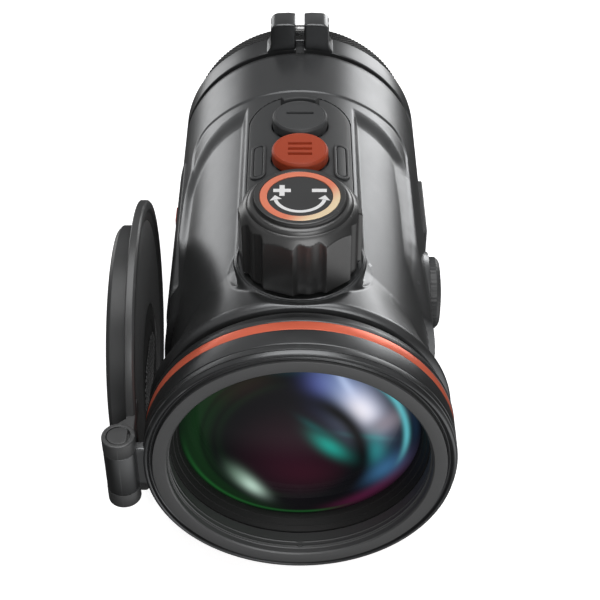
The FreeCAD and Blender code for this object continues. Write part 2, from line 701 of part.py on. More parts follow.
def make_cap():
    """Hinged lens cap, parked open: plug, disc with two knuckles, inlay and hinge pin."""
    plug_x = "hinge_x + cap_offset - cap_thick - plug_depth"
    centre = "hinge_station - hinge_x"
    part(sideways(turned("plug_form", [
        ("0", "plug_radius - 4"),
        ("0", "plug_radius - 0.8"),
        ("0.8", "plug_radius"),
        ("plug_depth", "plug_radius"),
        ("plug_depth", "0"),
        ("3.4", "0"),
        ("3.4", "plug_radius - 4"),
    ]), plug_x, centre), "cap_plug")

    disc = sideways(turned("disc_form", [
        ("0", "0"),
        ("0", "cap_radius"),
        ("cap_thick - 0.4", "cap_radius"),
        ("cap_thick", "cap_radius - 0.4"),
        ("cap_thick", "cap_radius - 2.4"),
        ("cap_thick - 0.6", "cap_radius - 5"),
        ("cap_thick - 0.6", "0"),
    ]), "hinge_x + cap_offset - cap_thick", centre)
    pocket = sideways(rod("inlay_pocket", "16", "2"), "hinge_x + cap_offset - 1.2", centre,
                      "(-inlay_drop)")
    web = place(block("cap_web", "cap_thick", "9", "2 * hinge_half"),
                "hinge_x + cap_offset - cap_thick", "front_y + hinge_station",
                "axis_height - hinge_half")
    barrel = upright(rod("cap_barrel", "hinge_radius", "2 * hinge_half"),
                     "hinge_station", "hinge_x", "(-hinge_half)")
    gap = upright(rod("cap_gap", "hinge_radius + 0.5", "2 * knuckle_half + 0.6"),
                  "hinge_station", "hinge_x", "(-knuckle_half) - 0.3")
    gap_side = place(block("cap_gap_side", "8", "hinge_radius + 1.6", "2 * knuckle_half + 0.6"),
                     "hinge_x - 2", "front_y + hinge_station - 1",
                     "axis_height - knuckle_half - 0.3")
    hole = upright(rod("cap_pin_hole", "pin_radius + 0.05", "2 * hinge_half"),
                   "hinge_station", "hinge_x", "(-hinge_half)")
    head_room = upright(rod("cap_pin_head_room", "2.55", "1.2"), "hinge_station", "hinge_x",
                        "hinge_half - 1")
    part(cut("cap_cut", fused("cap_whole", disc, web, barrel), gap, gap_side, hole, head_room,
             pocket), "cap_disc")
    part(sideways(rod("cap_inlay_form", "15.8", "0.5"), "hinge_x + cap_offset - 1.2", centre,
                  "(-inlay_drop)"), "cap_inlay")

    pin = upright(rod("pin_form", "pin_radius", "2 * hinge_half - 0.5"), "hinge_station",
                  "hinge_x", "(-hinge_half) + 0.2")
    head = upright(rod("pin_head", "2.5", "0.8"), "hinge_station", "hinge_x", "hinge_half - 0.9")
    part(fused("pin_whole", pin, head), "hinge_pin")


make_front_bezel()
make_retaining_ring()
make_focus_ring()
make_objective()
make_focus_cell()
make_housing()
make_covers()
make_base()
make_controls()
make_knob()
make_electronics()
make_side_fittings()
make_rear()
make_cap()

# ---------------------------------------------------------------- checks and files

doc.recompute()
failed = [item.Label for item in doc.Objects if {"Invalid", "Error"} & set(item.State)]
if failed:
    raise SystemExit(f"failed objects: {failed}")
for item in parts:
    if item.Shape.isNull() or not item.Shape.isValid() or not item.Shape.Solids:
        raise SystemExit(f"bad shape: {item.Label}")

os.makedirs("parts", exist_ok=True)
for item in parts:
    item.Shape.exportStep(os.path.join("parts", item.Label + ".step"))
    print(f"{item.Label:20s} solids {len(item.Shape.Solids):2d}  volume {item.Shape.Volume:10.1f} mm3")
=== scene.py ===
"""Looks of the thermal imaging camera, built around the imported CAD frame.

Lengths in this file are millimetres until a mesh is made; a station is a distance along the
optical axis from the front face, and angles round the axis are counted from the top, clockwise
as seen from the front, so that +90 is the side of the port flap (+X).
"""

import json
import math

import bmesh
import bpy
import numpy as np
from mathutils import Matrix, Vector, geometry


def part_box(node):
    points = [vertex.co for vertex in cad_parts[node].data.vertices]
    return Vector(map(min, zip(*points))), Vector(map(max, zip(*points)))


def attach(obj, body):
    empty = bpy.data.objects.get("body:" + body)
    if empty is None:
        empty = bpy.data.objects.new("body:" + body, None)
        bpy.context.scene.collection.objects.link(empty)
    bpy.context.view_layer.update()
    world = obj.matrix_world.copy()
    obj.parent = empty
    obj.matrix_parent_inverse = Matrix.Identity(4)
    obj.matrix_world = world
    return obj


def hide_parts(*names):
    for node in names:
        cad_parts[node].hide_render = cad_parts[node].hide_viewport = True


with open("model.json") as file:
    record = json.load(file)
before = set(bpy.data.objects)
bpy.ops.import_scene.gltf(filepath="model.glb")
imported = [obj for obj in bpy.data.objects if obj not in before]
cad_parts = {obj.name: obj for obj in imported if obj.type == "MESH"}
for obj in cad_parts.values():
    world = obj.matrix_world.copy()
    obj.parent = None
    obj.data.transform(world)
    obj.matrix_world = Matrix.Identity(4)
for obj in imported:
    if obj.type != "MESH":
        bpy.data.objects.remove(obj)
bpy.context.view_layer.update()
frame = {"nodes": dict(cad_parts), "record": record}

MM = 0.001
AXIS = (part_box("focus_ring")[0].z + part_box("focus_ring")[1].z) / 2 / MM
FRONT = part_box("retaining_ring")[0].y / MM
X, Y, Z = Vector((1, 0, 0)), Vector((0, 1, 0)), Vector((0, 0, 1))
KNOB_S = 33.8       # station of the rotary knob


# ------------------------------------------------------------------ node maths

def operator(operation, reflected=False):
    """A method that adds one Math node."""
    def method(self, *others):
        values = (*others, self) if reflected else (self, *others)
        return self.maths(operation, *values)
    return method


class Field:
    """A node socket that takes part in arithmetic; each operator adds a Math node."""

    def __init__(self, graph, socket):
        self.graph = graph
        self.socket = socket

    def maths(self, operation, *values):
        inputs = dict(enumerate(values))
        return self.graph.node("ShaderNodeMath", {"operation": operation}, inputs)

    def __neg__(self):
        return self * -1.0

    __add__ = __radd__ = operator("ADD")
    __sub__ = operator("SUBTRACT")
    __rsub__ = operator("SUBTRACT", True)
    __mul__ = __rmul__ = operator("MULTIPLY")
    __truediv__ = operator("DIVIDE")
    __rtruediv__ = operator("DIVIDE", True)
    __pow__ = operator("POWER")
    __mod__ = operator("FLOORED_MODULO")
    __abs__ = operator("ABSOLUTE")
    floor, sin, cos, root, exponent = map(
        operator, ("FLOOR", "SINE", "COSINE", "SQRT", "EXPONENT"))

    def hump(self, centre, width):
        """1 at the centre, falling smoothly to 0 on both sides."""
        return (-(((self - centre) / width) ** 2.0)).exponent()

    def step(self, low, high):
        """0 below low, 1 above high, smooth between."""
        return self.graph.node("ShaderNodeMapRange", {"interpolation_type": "SMOOTHSTEP"},
                               {"Value": self, "From Min": low, "From Max": high})


class Graph:
    """A node tree, of a material or of a geometry modifier."""

    def __init__(self, tree):
        self.tree = tree

    def node(self, kind, settings=None, inputs=None, output=0):
        made = self.tree.nodes.new(kind)
        for name, value in (settings or {}).items():
            setattr(made, name, value)
        for name, value in (inputs or {}).items():
            if isinstance(value, Field):
                self.tree.links.new(value.socket, made.inputs[name])
            else:
                made.inputs[name].default_value = value
        return Field(self, made.outputs[output])

    def others(self, field, *names):
        """Further outputs of the node that a field came from."""
        return [Field(self, field.socket.node.outputs[name]) for name in names]

    def vector(self, x, y, z):
        return self.node("ShaderNodeCombineXYZ", None, {0: x, 1: y, 2: z})


class Finish(Graph):
    """A procedural material on one Principled surface."""

    def __init__(self, name):
        self.material = bpy.data.materials.new(name)
        self.material.use_nodes = True
        super().__init__(self.material.node_tree)
        self.tree.nodes.clear()
        self.place = self.node("ShaderNodeTexCoord", output="Object")

    def along(self):
        """Position in millimetres: across, along the optical axis from the front, up from it."""
        x = self.node("ShaderNodeSeparateXYZ", None, {0: self.place})
        y, z = self.others(x, "Y", "Z")
        return x * 1000.0, y * 1000.0 - FRONT, z * 1000.0 - AXIS

    def noise(self, scale, detail=3.0, roughness=0.55):
        return self.node("ShaderNodeTexNoise", None, {
            "Vector": self.place, "Scale": scale, "Detail": detail, "Roughness": roughness})

    def blend(self, share, first, second):
        return self.node("ShaderNodeMix", {"data_type": "RGBA"},
                         {0: share, 6: first, 7: second}, output=2)

    def bump(self, height, distance, strength=1.0):
        return self.node("ShaderNodeBump", None, {
            "Height": height, "Distance": distance, "Strength": strength})

    def surface(self, **sockets):
        """The shader and the output; names are the sockets' own, with _ for a space."""
        named = {name.replace("_", " "): value for name, value in sockets.items()}
        shader = self.node("ShaderNodeBsdfPrincipled", None, named)
        end = self.tree.nodes.new("ShaderNodeOutputMaterial")
        self.tree.links.new(shader.socket, end.inputs["Surface"])
        return self.material


def grey(value, warm=0.0):
    return (value * (1 + warm), value, value * (1 - warm), 1.0)


def scaled(tone, factor):
    return tuple(c * factor for c in tone[:3]) + (1.0,)


def worn_metal(name, tone, metallic, rough, grain=4200, depth=0.004, worn=0.25, specular=0.5):
    """A dark coat over metal: fine grain, patchy gloss, edges rubbed lighter."""
    f = Finish(name)
    fine = f.noise(grain, 2.0)
    patch = f.noise(55, 4.0)
    smear = f.noise(380, 3.0, 0.7)
    edge = f.node("ShaderNodeNewGeometry", output="Pointiness").step(0.52, 0.60)
    rub = edge * (patch.step(0.35, 0.7) * 0.7 + 0.3) * worn
    light = tuple(min(1.0, c * 2.6 + 0.05) for c in tone[:3]) + (1.0,)
    base = f.blend(patch * 0.6 + fine * 0.4, scaled(tone, 0.82), scaled(tone, 1.14))
    return f.surface(
        Base_Color=f.blend(rub, base, light),
        Roughness=rough + (patch - 0.5) * 0.10 + (smear - 0.5) * 0.08 - rub * 0.12,
        Metallic=metallic,
        Specular_IOR_Level=specular,
        Normal=f.bump(fine, depth * MM, 0.6))


def moulded(name, tone, rough, grain=2600, depth=0.006, variation=0.12):
    """Moulded plastic or rubber with a fine eroded texture and faint handling marks."""
    f = Finish(name)
    fine = f.noise(grain, 2.0, 0.6)
    cloud = f.noise(70, 4.0)
    marks = f.noise(420, 2.0, 0.75)
    return f.surface(
        Base_Color=f.blend(cloud * 0.7 + fine * 0.3, scaled(tone, 1 - variation),
                           scaled(tone, 1 + variation)),
        Roughness=rough + (cloud - 0.5) * 0.12 + (marks - 0.5) * 0.08,
        Normal=f.bump(fine, depth * MM, 0.55))


def ring_finish():
    """Anodised ring of the knob: salmon, with a painted yellowish-white highlight on the right
    front.
    """
    f = Finish("accent_anodised_top")
    across, station, height = f.along()
    toward = (across * 0.75 - (station - KNOB_S) * 0.66) / 8.0
    cloud = f.noise(90, 3.0)
    # painted highlight: towards the right front the base goes over to yellowish white, standing in
    # for a lamp's reflection
    painted_highlight = toward.step(0.25, 0.95)
    salmon = f.blend(cloud, (0.88, 0.24, 0.14, 1), (0.95, 0.29, 0.17, 1))
    return f.surface(
        Base_Color=f.blend(painted_highlight, salmon, (1.0, 0.80, 0.52, 1)),
        Roughness=0.34 + (cloud - 0.5) * 0.08,
        Metallic=0.25,
        Specular_IOR_Level=0.6)


def band_finish():
    """Anodised ring of the focus band: red, with painted highlights: salmon-white on the left
    shoulder, faint at the top, yellowish white on the right.
    """
    f = Finish("accent_anodised")
    across, station, height = f.along()
    cloud = f.noise(90, 3.0)
    red = f.blend(cloud, (0.80, 0.15, 0.08, 1), (0.95, 0.19, 0.10, 1))
    # painted highlights on the upper half of the band, where the lamps' reflections would fall:
    # left shoulder, top and right
    upper = (height - AXIS).step(4.0, 16.0)
    painted_pale_highlight = f.blend(across.hump(-17.5, 7.0) * upper * 0.75, red, (1.0, 0.52, 0.38, 1))
    painted_pale_highlight = f.blend(across.hump(1.0, 6.5) * upper * 0.12, painted_pale_highlight, (1.0, 0.45, 0.34, 1))
    painted_gold_highlight = f.blend(across.hump(22.3, 6.5) * upper, painted_pale_highlight, (1.0, 0.90, 0.70, 1))
    groove = (station * (2 * math.pi / 0.16)).sin()
    return f.surface(
        Base_Color=painted_gold_highlight,
        Roughness=0.30 + (cloud - 0.5) * 0.08,
        Metallic=0.35,
        Specular_IOR_Level=0.6,
        Normal=f.bump(groove, 0.0015 * MM, 0.4))


def coated_lens():
    """Dark lens under a clear glossy coat, with painted reflections and highlights laid down as
    tinted zones by place; they also glow by emission.
    """
    f = Finish("lens_coating")
    across, station, height = f.along()
    u, v = across / 27.0, height / 27.0
    radius = (u * u + v * v).root()

    def painted_reflection_spot(cu, cv, wide, tall, turn):
        """A soft spot of painted reflection: centre, half sizes, and its long side's turn in
        degrees.
        """
        c, s = math.cos(math.radians(turn)), math.sin(math.radians(turn))
        du, dv = u - cu, v - cv
        p, q = du * c + dv * s, dv * c - du * s
        return (-((p / wide) ** 2.0 + (q / tall) ** 2.0)).exponent()

    left = (-u).step(0.0, 0.5)
    right = u.step(0.05, 0.55)
    low = (-v).step(-0.1, 0.6)
    du, dv = u + 0.08, v + 0.12
    element = (du * du + dv * dv * 0.8).root()
    # painted reflections: the tinted reflections and highlights of the lamps and room in the lens,
    # zone by zone
    painted_reflections = (0.003, 0.003, 0.004, 1)
    for share, tone in (
        (element.hump(0.0, 0.38), (0.022, 0.006, 0.012)),
        (painted_reflection_spot(0.05, -0.30, 0.26, 0.18, 0) * 0.6, (0.036, 0.006, 0.014)),
        (radius.hump(0.84, 0.15) * left * 0.85, (0.006, 0.030, 0.008)),
        (radius.hump(0.80, 0.022) * left * 0.7, (0.003, 0.010, 0.004)),
        (radius.hump(0.66, 0.035) * left * 0.6, (0.007, 0.028, 0.009)),
        (radius.hump(0.70, 0.02) * left * 0.5, (0.003, 0.006, 0.003)),
        (radius.hump(0.955, 0.022) * low * (1.0 - right) * 0.6, (0.014, 0.12, 0.024)),
        (radius.hump(0.90, 0.08) * right * low * 0.9, (0.065, 0.008, 0.032)),
        (radius.hump(0.98, 0.03) * v.step(0.5, 0.9) * 0.7, (0.050, 0.008, 0.065)),
        (painted_reflection_spot(-0.12, 0.77, 0.30, 0.04, 0) * 0.6, (0.008, 0.032, 0.036)),
        (painted_reflection_spot(-0.42, 0.62, 0.28, 0.10, 35) * 0.6, (0.022, 0.006, 0.008)),
        (painted_reflection_spot(0.18, 0.64, 0.17, 0.13, -70) * 0.95, (0.050, 0.060, 0.26)),
        (painted_reflection_spot(0.42, 0.46, 0.38, 0.16, -62) * 0.95, (0.24, 0.34, 0.62)),
        (painted_reflection_spot(0.36, 0.64, 0.20, 0.035, -60) * 0.6, (0.50, 0.62, 0.90)),
        (painted_reflection_spot(0.49, 0.37, 0.20, 0.12, -58), (0.92, 0.90, 1.0)),
        (painted_reflection_spot(0.66, 0.20, 0.17, 0.10, 25) * 0.8, (0.26, 0.22, 0.26)),
        (painted_reflection_spot(0.52, 0.10, 0.15, 0.03, -20) * 0.6, (0.10, 0.45, 0.46)),
        (painted_reflection_spot(0.60, -0.07, 0.19, 0.09, -80) * 0.95, (0.030, 0.26, 0.28)),
        (painted_reflection_spot(0.70, -0.34, 0.20, 0.12, 50) * 0.9, (0.040, 0.13, 0.26)),
        (radius.hump(0.87, 0.028) * right * v.step(-0.40, 0.05) * 0.9, (0.12, 0.50, 0.56)),
        (radius.hump(0.94, 0.035) * right * v.step(-0.3, 0.1) * 0.85, (0.008, 0.020, 0.042)),
        (element.hump(0.58, 0.06) * u.step(-0.1, 0.3), (0.002, 0.002, 0.003)),
        (element.hump(0.58, 0.11) * 0.7, (0.003, 0.003, 0.004)),
        (painted_reflection_spot(0.24, 0.03, 0.18, 0.07, -48), (0.012, 0.28, 0.23)),
        (painted_reflection_spot(0.12, 0.24, 0.14, 0.035, -42) * 0.6, (0.007, 0.085, 0.085)),
        (painted_reflection_spot(-0.42, -0.50, 0.17, 0.07, -58), (0.50, 0.68, 0.58)),
        (painted_reflection_spot(-0.50, -0.40, 0.16, 0.09, -62) * 0.4, (0.06, 0.14, 0.08)),
        (radius.step(0.985, 1.02) * 0.9, (0.004, 0.004, 0.005))):
        painted_reflections = f.blend(share, painted_reflections, (*tone, 1))
    haze = f.noise(60, 2.0)
    # the painted reflections also feed the emission, so the lens glows
    return f.surface(
        Base_Color=f.blend(0.3, (0.004, 0.004, 0.005, 1), painted_reflections),
        Emission_Color=painted_reflections,
        Emission_Strength=0.85,
        Roughness=0.06 + haze * 0.03,
        Metallic=0.0,
        Specular_IOR_Level=0.12,
        Coat_Weight=0.05,
        Coat_Roughness=0.02)


def clear_glass(name, tone):
    f = Finish(name)
    haze = f.noise(80, 3.0)
    return f.surface(Base_Color=f.blend(haze, tone, scaled(tone, 0.9)),
                     Roughness=0.03 + haze * 0.04, Alpha=0.55, Specular_IOR_Level=0.8)


def circuit(name, tone):
    """Solder-resist green with lighter copper tracks below it."""
    f = Finish(name)
    across, station, height = f.along()
    track = (across * 2.4).sin() * (station * 1.9).sin()
    share = track.step(0.25, 0.4)
    grain = f.noise(900, 2.0)
    return f.surface(Base_Color=f.blend(share, tone, scaled(tone, 1.9)),
                     Roughness=0.38 + grain * 0.1, Normal=f.bump(share, 0.02 * MM))


HOUSING = worn_metal("housing_coat", grey(0.155, -0.02), 0.92, 0.36, worn=0.5)
HEAD = worn_metal("head_coat", grey(0.125, -0.02), 0.92, 0.33, worn=0.4)
RETAINER = worn_metal("retainer_coat", grey(0.15, -0.01), 0.6, 0.46, 5200, 0.006, 0.0)
BLACK = worn_metal("blackened", grey(0.022), 0.4, 0.55, 3800, 0.006, 0.1)
KNOB = worn_metal("knob_coat", grey(0.125, 0.0), 0.85, 0.34, worn=0.4)
CAP = worn_metal("cap_coat", grey(0.095, -0.01), 0.45, 0.38, worn=0.3)
ACCENT = band_finish()
ACCENT_TOP = ring_finish()
ACCENT_RUBBER = moulded("accent_rubber", (0.40, 0.050, 0.013, 1), 0.52, 2000, 0.008)
BUTTON_RUBBER = moulded("button_rubber", grey(0.052, -0.03), 0.50, 2000, 0.008)
PANEL = moulded("panel_plastic", grey(0.050, -0.03), 0.42, 3000, 0.006)
GRIP_RUBBER = moulded("grip_rubber", grey(0.045, -0.03), 0.5, 700, 0.10)
DISC = moulded("disc_plastic", grey(0.042, -0.02), 0.40, 3000, 0.005)
# painted light: a lighter copy of the cap's dark finish, for the dish on the cap's face, standing
# in for the light it catches
PAINTED_LIT_DISH = moulded("dish_plastic", grey(0.15, -0.01), 0.36, 2600, 0.006)
PLUG = moulded("plug_rubber", grey(0.050, -0.02), 0.42, 2200, 0.007)
PAINT = moulded("legend_paint", grey(0.80), 0.45, 3000, 0.003, 0.03)
# painted shadow: near-black for the coin slot on the side cap, whose inside is only shade
PAINTED_SLOT_SHADOW = moulded("seam_shadow", grey(0.010), 0.7, 3000, 0.004)
STEEL = worn_metal("screw_steel", grey(0.30), 1.0, 0.28, 3200, 0.004, 0.5)
BRASS = worn_metal("socket_brass", (0.62, 0.43, 0.17, 1), 1.0, 0.30, 3200, 0.004, 0.4)
SENSOR = worn_metal("sensor_package", grey(0.42, 0.06), 0.8, 0.35, 2400, 0.004, 0.3)
BOARD = circuit("board_resist", (0.02, 0.13, 0.055, 1))
CELL = moulded("cell_wrap", (0.08, 0.14, 0.30, 1), 0.25, 900, 0.01)
DISPLAY = moulded("display_glass", grey(0.02), 0.12, 900, 0.002)
LENS = coated_lens()
INNER_LENS = clear_glass("inner_coating", (0.20, 0.16, 0.26, 1))
GLASS = clear_glass("window_glass", (0.60, 0.66, 0.66, 1))

SLOT_FINISH = {
    "housing_metal": HOUSING, "head_metal": HEAD, "ring_metal": RETAINER,
    "barrel_metal": BLACK, "accent_metal": ACCENT, "accent_rubber": ACCENT_RUBBER,
    "button_rubber": BUTTON_RUBBER, "panel_plastic": PANEL, "knob_metal": KNOB,
    "cap_plastic": CAP, "plug_rubber": PLUG, "germanium": LENS, "infrared_lens": INNER_LENS,
    "clear_glass": GLASS, "steel": STEEL, "brass_insert": BRASS, "board": BOARD,
    "cell_wrap": CELL, "switch_plastic": DISC, "display_glass": DISPLAY, "sensor": SENSOR,
}
for entry in frame["record"]["subparts"]:
    node = frame["nodes"][entry["node"]]
    node.data.materials.clear()
    node.data.materials.append(SLOT_FINISH[entry["material_slot"]])


# ------------------------------------------------------------------ mesh helpers

def piece(name, shells, finish, body, replaces=(), sharp=32):
    """One object from shells of (points in millimetres, faces, finish or None)."""
    points, faces, looks, finishes = [], [], [], []
    for shell in shells:
        part_points, part_faces = shell[0], shell[1]
        look = shell[2] if len(shell) > 2 else finish
        if look not in finishes:
            finishes.append(look)
        start = len(points)
        points.extend(tuple(p) for p in part_points)
        faces.extend([tuple(i + start for i in f) for f in part_faces])
        looks.extend([finishes.index(look)] * len(part_faces))
    mesh = bpy.data.meshes.new(name)
    mesh.from_pydata([(x * MM, y * MM, z * MM) for x, y, z in points], [], faces)
    for look in finishes:
        mesh.materials.append(look)
    mesh.polygons.foreach_set("material_index", looks)
    work = bmesh.new()
    work.from_mesh(mesh)
    bmesh.ops.remove_doubles(work, verts=work.verts, dist=1e-7)
    bmesh.ops.recalc_face_normals(work, faces=work.faces)
    work.to_mesh(mesh)
    work.free()
    mesh.shade_smooth()
    mesh.set_sharp_from_angle(angle=math.radians(sharp))
    made = bpy.data.objects.new(name, mesh)
    bpy.context.scene.collection.objects.link(made)
    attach(made, body)
    if replaces:
        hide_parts(*replaces)
    return made


def rounded(outline, closed=True, steps=3):
    """Corners of (a, b, radius) replaced by short arcs."""
    count = len(outline)
    result = []
    for i, corner in enumerate(outline):
        a, b = corner[0], corner[1]
        radius = corner[2] if len(corner) > 2 else 0
        here = Vector((a, b))
        before = Vector(outline[(i - 1) % count][:2]) - here
        after = Vector(outline[(i + 1) % count][:2]) - here
        open_end = not closed and i in (0, count - 1)
        if radius <= 0 or open_end or before.length < 1e-6 or after.length < 1e-6:
            result.append((a, b))
            continue
        angle = before.angle(after)
        if angle > 3.1:
            result.append((a, b))
            continue
        reach = min(radius / math.tan(angle / 2), before.length * 0.48, after.length * 0.48)
        start, end = here + before.normalized() * reach, here + after.normalized() * reach
        for k in range(steps + 1):
            t = k / steps
            p = start * (1 - t) ** 2 + here * 2 * t * (1 - t) + end * t ** 2
            result.append((p.x, p.y))
    return result


def turned(profile, origin, axis, side, segments=192, steps=3, shape=None):
    """A closed profile of (along, radius, rounding) spun round an axis."""
    third = axis.cross(side)
    line = rounded(profile, True, steps)
    count = len(line)
    points, faces = [], []
    for k in range(segments):
        angle = 2 * math.pi * k / segments
        out = side * math.cos(angle) + third * math.sin(angle)
        for along, radius in line:
            if shape:
                along, radius = shape(along, radius, angle)
            points.append(origin + axis * along + out * radius)
    for k in range(segments):
        after = (k + 1) % segments
        for i in range(count):
            j = (i + 1) % count
            if line[i][1] < 1e-6 and line[j][1] < 1e-6:
                continue
            quad = [k * count + i, k * count + j, after * count + j, after * count + i]
            if line[i][1] < 1e-6:
                quad = quad[:3]
            elif line[j][1] < 1e-6:
                quad = [quad[0], quad[1], quad[3]]
            faces.append(quad)
    return points, faces


def on_axis(profile, segments=224, steps=3, shape=None):
    """Spun round the optical axis; stations and radii, angle 0 at the top."""
    return turned(profile, Vector((0, FRONT, AXIS)), Y, Z, segments, steps, shape)


def upright(profile, station, x=0.0, segments=128, steps=3, shape=None):
    """Spun round a vertical line; heights are over the optical axis."""
    return turned(profile, Vector((x, FRONT + station, AXIS)), Z, X, segments, steps, shape)


def sideways(profile, station, height=0.0, segments=192, steps=3, shape=None):
    """Spun round a line along X; the first number of a corner is its x."""
    return turned(profile, Vector((0, FRONT + station, AXIS + height)), X, Y, segments, steps,
                  shape)


def inside(points, loops):
    """Even-odd test of points against all loops together."""
    points = np.asarray(points, float)
    odd = np.zeros(len(points), bool)
    for loop in loops:
        ring = np.asarray(loop, float)
        following = np.roll(ring, -1, axis=0)
        for (x0, y0), (x1, y1) in zip(ring, following):
            if y0 == y1:
                continue
            crosses = (points[:, 1] > min(y0, y1)) & (points[:, 1] <= max(y0, y1))
            at = x0 + (points[:, 1] - y0) * (x1 - x0) / (y1 - y0)
            odd ^= crosses & (points[:, 0] < at)
    return odd


def offset(loop, distance):
    """A loop moved to its left by a distance."""
    ring = np.asarray(loop, float)
    ahead = np.roll(ring, -1, axis=0) - ring
    ahead /= np.linalg.norm(ahead, axis=1)[:, None]
    behind = np.roll(ahead, 1, axis=0)
    middle = ahead + behind
    middle /= np.linalg.norm(middle, axis=1)[:, None]
    stretch = 1 / np.clip((middle * ahead).sum(1), 0.5, 1)
    left = np.stack([-middle[:, 1], middle[:, 0]], 1)
    return ring + left * (distance * stretch)[:, None]


def area(loop):
    ring = np.asarray(loop, float)
    after = np.roll(ring, -1, axis=0)
    return 0.5 * (ring[:, 0] * after[:, 1] - after[:, 0] * ring[:, 1]).sum()


def slab(outline, place, depth, edge=0.25, holes=(), pockets=(), sink=0.35, spacing=1.2):
    """A plate with rounded top edges, through holes and shallow pockets.

    place(u, v, h) gives the point of a plan position at a height h over the plate's top.
    """
    points, faces = [], []

    def ring_points(loop, level):
        start = len(points)
        points.extend(place(u, v, level) for u, v in loop)
        return start

    def skirt(start, other, count):
        for i in range(count):
            j = (i + 1) % count
            faces.append((start + i, start + j, other + j, other + i))

    def cover(loops, level, fill):
        flat = [tuple(p) for loop in loops for p in loop]
        edges = []
        start = 0
        for loop in loops:
            edges += [(start + i, start + (i + 1) % len(loop)) for i in range(len(loop))]
            start += len(loop)
        if fill:
            low, high = np.min(loops[0], axis=0), np.max(loops[0], axis=0)
            steps = [np.arange(low[k] + fill / 2, high[k], fill) for k in (0, 1)]
            grid = np.array([(u, v) for u in steps[0] for v in steps[1]])
            if len(grid):
                keep = inside(grid, loops)
                rim = np.array(flat)
                for index in np.nonzero(keep)[0]:
                    if np.hypot(*(rim - grid[index]).T).min() < fill * 0.35:
                        keep[index] = False
                flat += [tuple(p) for p in grid[keep]]
        out = geometry.delaunay_2d_cdt([Vector(p) for p in flat], edges, [], 0, 1e-6)
        verts, triangles = out[0], out[2]
        middles = [tuple(sum((verts[i] for i in t), Vector((0, 0))) / 3) for t in triangles]
        wanted = inside(middles, loops)
        base = len(points)
        points.extend(place(p.x, p.y, level) for p in verts)
        faces.extend(tuple(base + i for i in t) for t, keep in zip(triangles, wanted) if keep)

    rims, feet = [], []
    turns = 4
    for loop, sense in [(outline, 1)] + [(hole, -1) for hole in holes]:
        ring = np.asarray(loop if area(loop) * sense > 0 else loop[::-1], float)
        last = ring_points(ring, -depth)
        feet.append(ring)
        for k in range(turns + 1):
            angle = math.pi / 2 * k / turns
            inner = offset(ring, edge * (1 - math.cos(angle)))
            now = ring_points(inner, -edge * (1 - math.sin(angle)))
            skirt(last, now, len(ring))
            last = now
        rims.append(inner)
    for loop in pockets:
        ring = np.asarray(loop if area(loop) < 0 else loop[::-1], float)
        lip = ring_points(ring, 0)
        soft = ring_points(offset(ring, -0.06), -0.08)
        floor = ring_points(offset(ring, -0.08), -sink)
        skirt(lip, soft, len(ring))
        skirt(soft, floor, len(ring))
        cover([offset(ring, -0.08)], -sink, spacing)
        rims.append(ring)
    cover(rims, 0, spacing)
    cover(feet, -depth, 0)
    return points, faces


def arc(radius, degrees, cx=0.0, cy=0.0):
    """Points round a centre at the given angles."""
    return [(cx + radius * math.cos(math.radians(a)), cy + radius * math.sin(math.radians(a)))
            for a in degrees]


def round_rect(cx, cy, half_x, half_y, corner, steps=6):
    """A rectangle with rounded corners, counter-clockwise."""
    loop = []
    for sx, sy, start in ((1, -1, -90), (1, 1, 0), (-1, 1, 90), (-1, -1, 180)):
        loop += arc(corner, [start + 90 * k / steps for k in range(steps + 1)],
                    cx + sx * (half_x - corner), cy + sy * (half_y - corner))
    return thick(loop)


def thick(loop, longest=1.5):
    """Extra points on a loop's long runs."""
    result = []
    for i, here in enumerate(loop):
        after = loop[(i + 1) % len(loop)]
        gap = math.dist(here, after)
        if gap < 1e-6:
            continue
        parts = max(1, int(gap / longest))
        result += [(here[0] + (after[0] - here[0]) * k / parts,
                    here[1] + (after[1] - here[1]) * k / parts) for k in range(parts)]
    return result


def circle(cx, cy, radius, count=72):
    return arc(radius, [360 * k / count for k in range(count)], cx, cy)


def lattice(rows, columns, closed=False, first=0):
    """Faces between rings of points; closed joins the last ring to the first."""
    faces = []
    for i in range(rows if closed else rows - 1):
        here, there = first + i * columns, first + (i + 1) % rows * columns
        faces += [(here + k, here + (k + 1) % columns, there + (k + 1) % columns, there + k)
                  for k in range(columns)]
    return faces


def flat_top(height):
    """Plan place for slab(): x, station, over a level face."""
    return lambda x, s, h: (x, FRONT + s, AXIS + height + h)


def round_top(radius):
    """Plan place for slab(): x, station, over the body's cylinder."""
    return lambda x, s, h: (x, FRONT + s, AXIS + math.sqrt(max(radius ** 2 - x * x, 0)) + h)


def smooth(value, low, high):
    t = np.clip((value - low) / (high - low), 0, 1)
    return t * t * (3 - 2 * t)


def soft_max(a, b, k):
    h = np.clip(0.5 + 0.5 * (a - b) / k, 0, 1)
    return b + (a - b) * h + k * h * (1 - h)


def soft_min(a, b, k):
    return -soft_max(-a, -b, k)


# ------------------------------------------------------------------ repeats, by geometry nodes

def repeat_tree(name, inputs, build):
    """A geometry tree with named inputs; build(graph, fields) gives the instances."""
    tree = bpy.data.node_groups.new(name, "GeometryNodeTree")
    tree.interface.new_socket("Geometry", in_out="OUTPUT", socket_type="NodeSocketGeometry")
    for label, kind in inputs.items():
        tree.interface.new_socket(label, in_out="INPUT", socket_type="NodeSocket" + kind)
    graph = Graph(tree)
    entry = tree.nodes.new("NodeGroupInput")
    fields = {label: Field(graph, entry.outputs[label]) for label in inputs}
    instances = build(graph, fields)
    real = graph.node("GeometryNodeRealizeInstances", None, {"Geometry": instances})
    coated = graph.node("GeometryNodeSetMaterial", None,
                        {"Geometry": real, "Material": fields["Finish"]})
    leave = tree.nodes.new("NodeGroupOutput")
    tree.links.new(coated.socket, leave.inputs["Geometry"])
    return tree


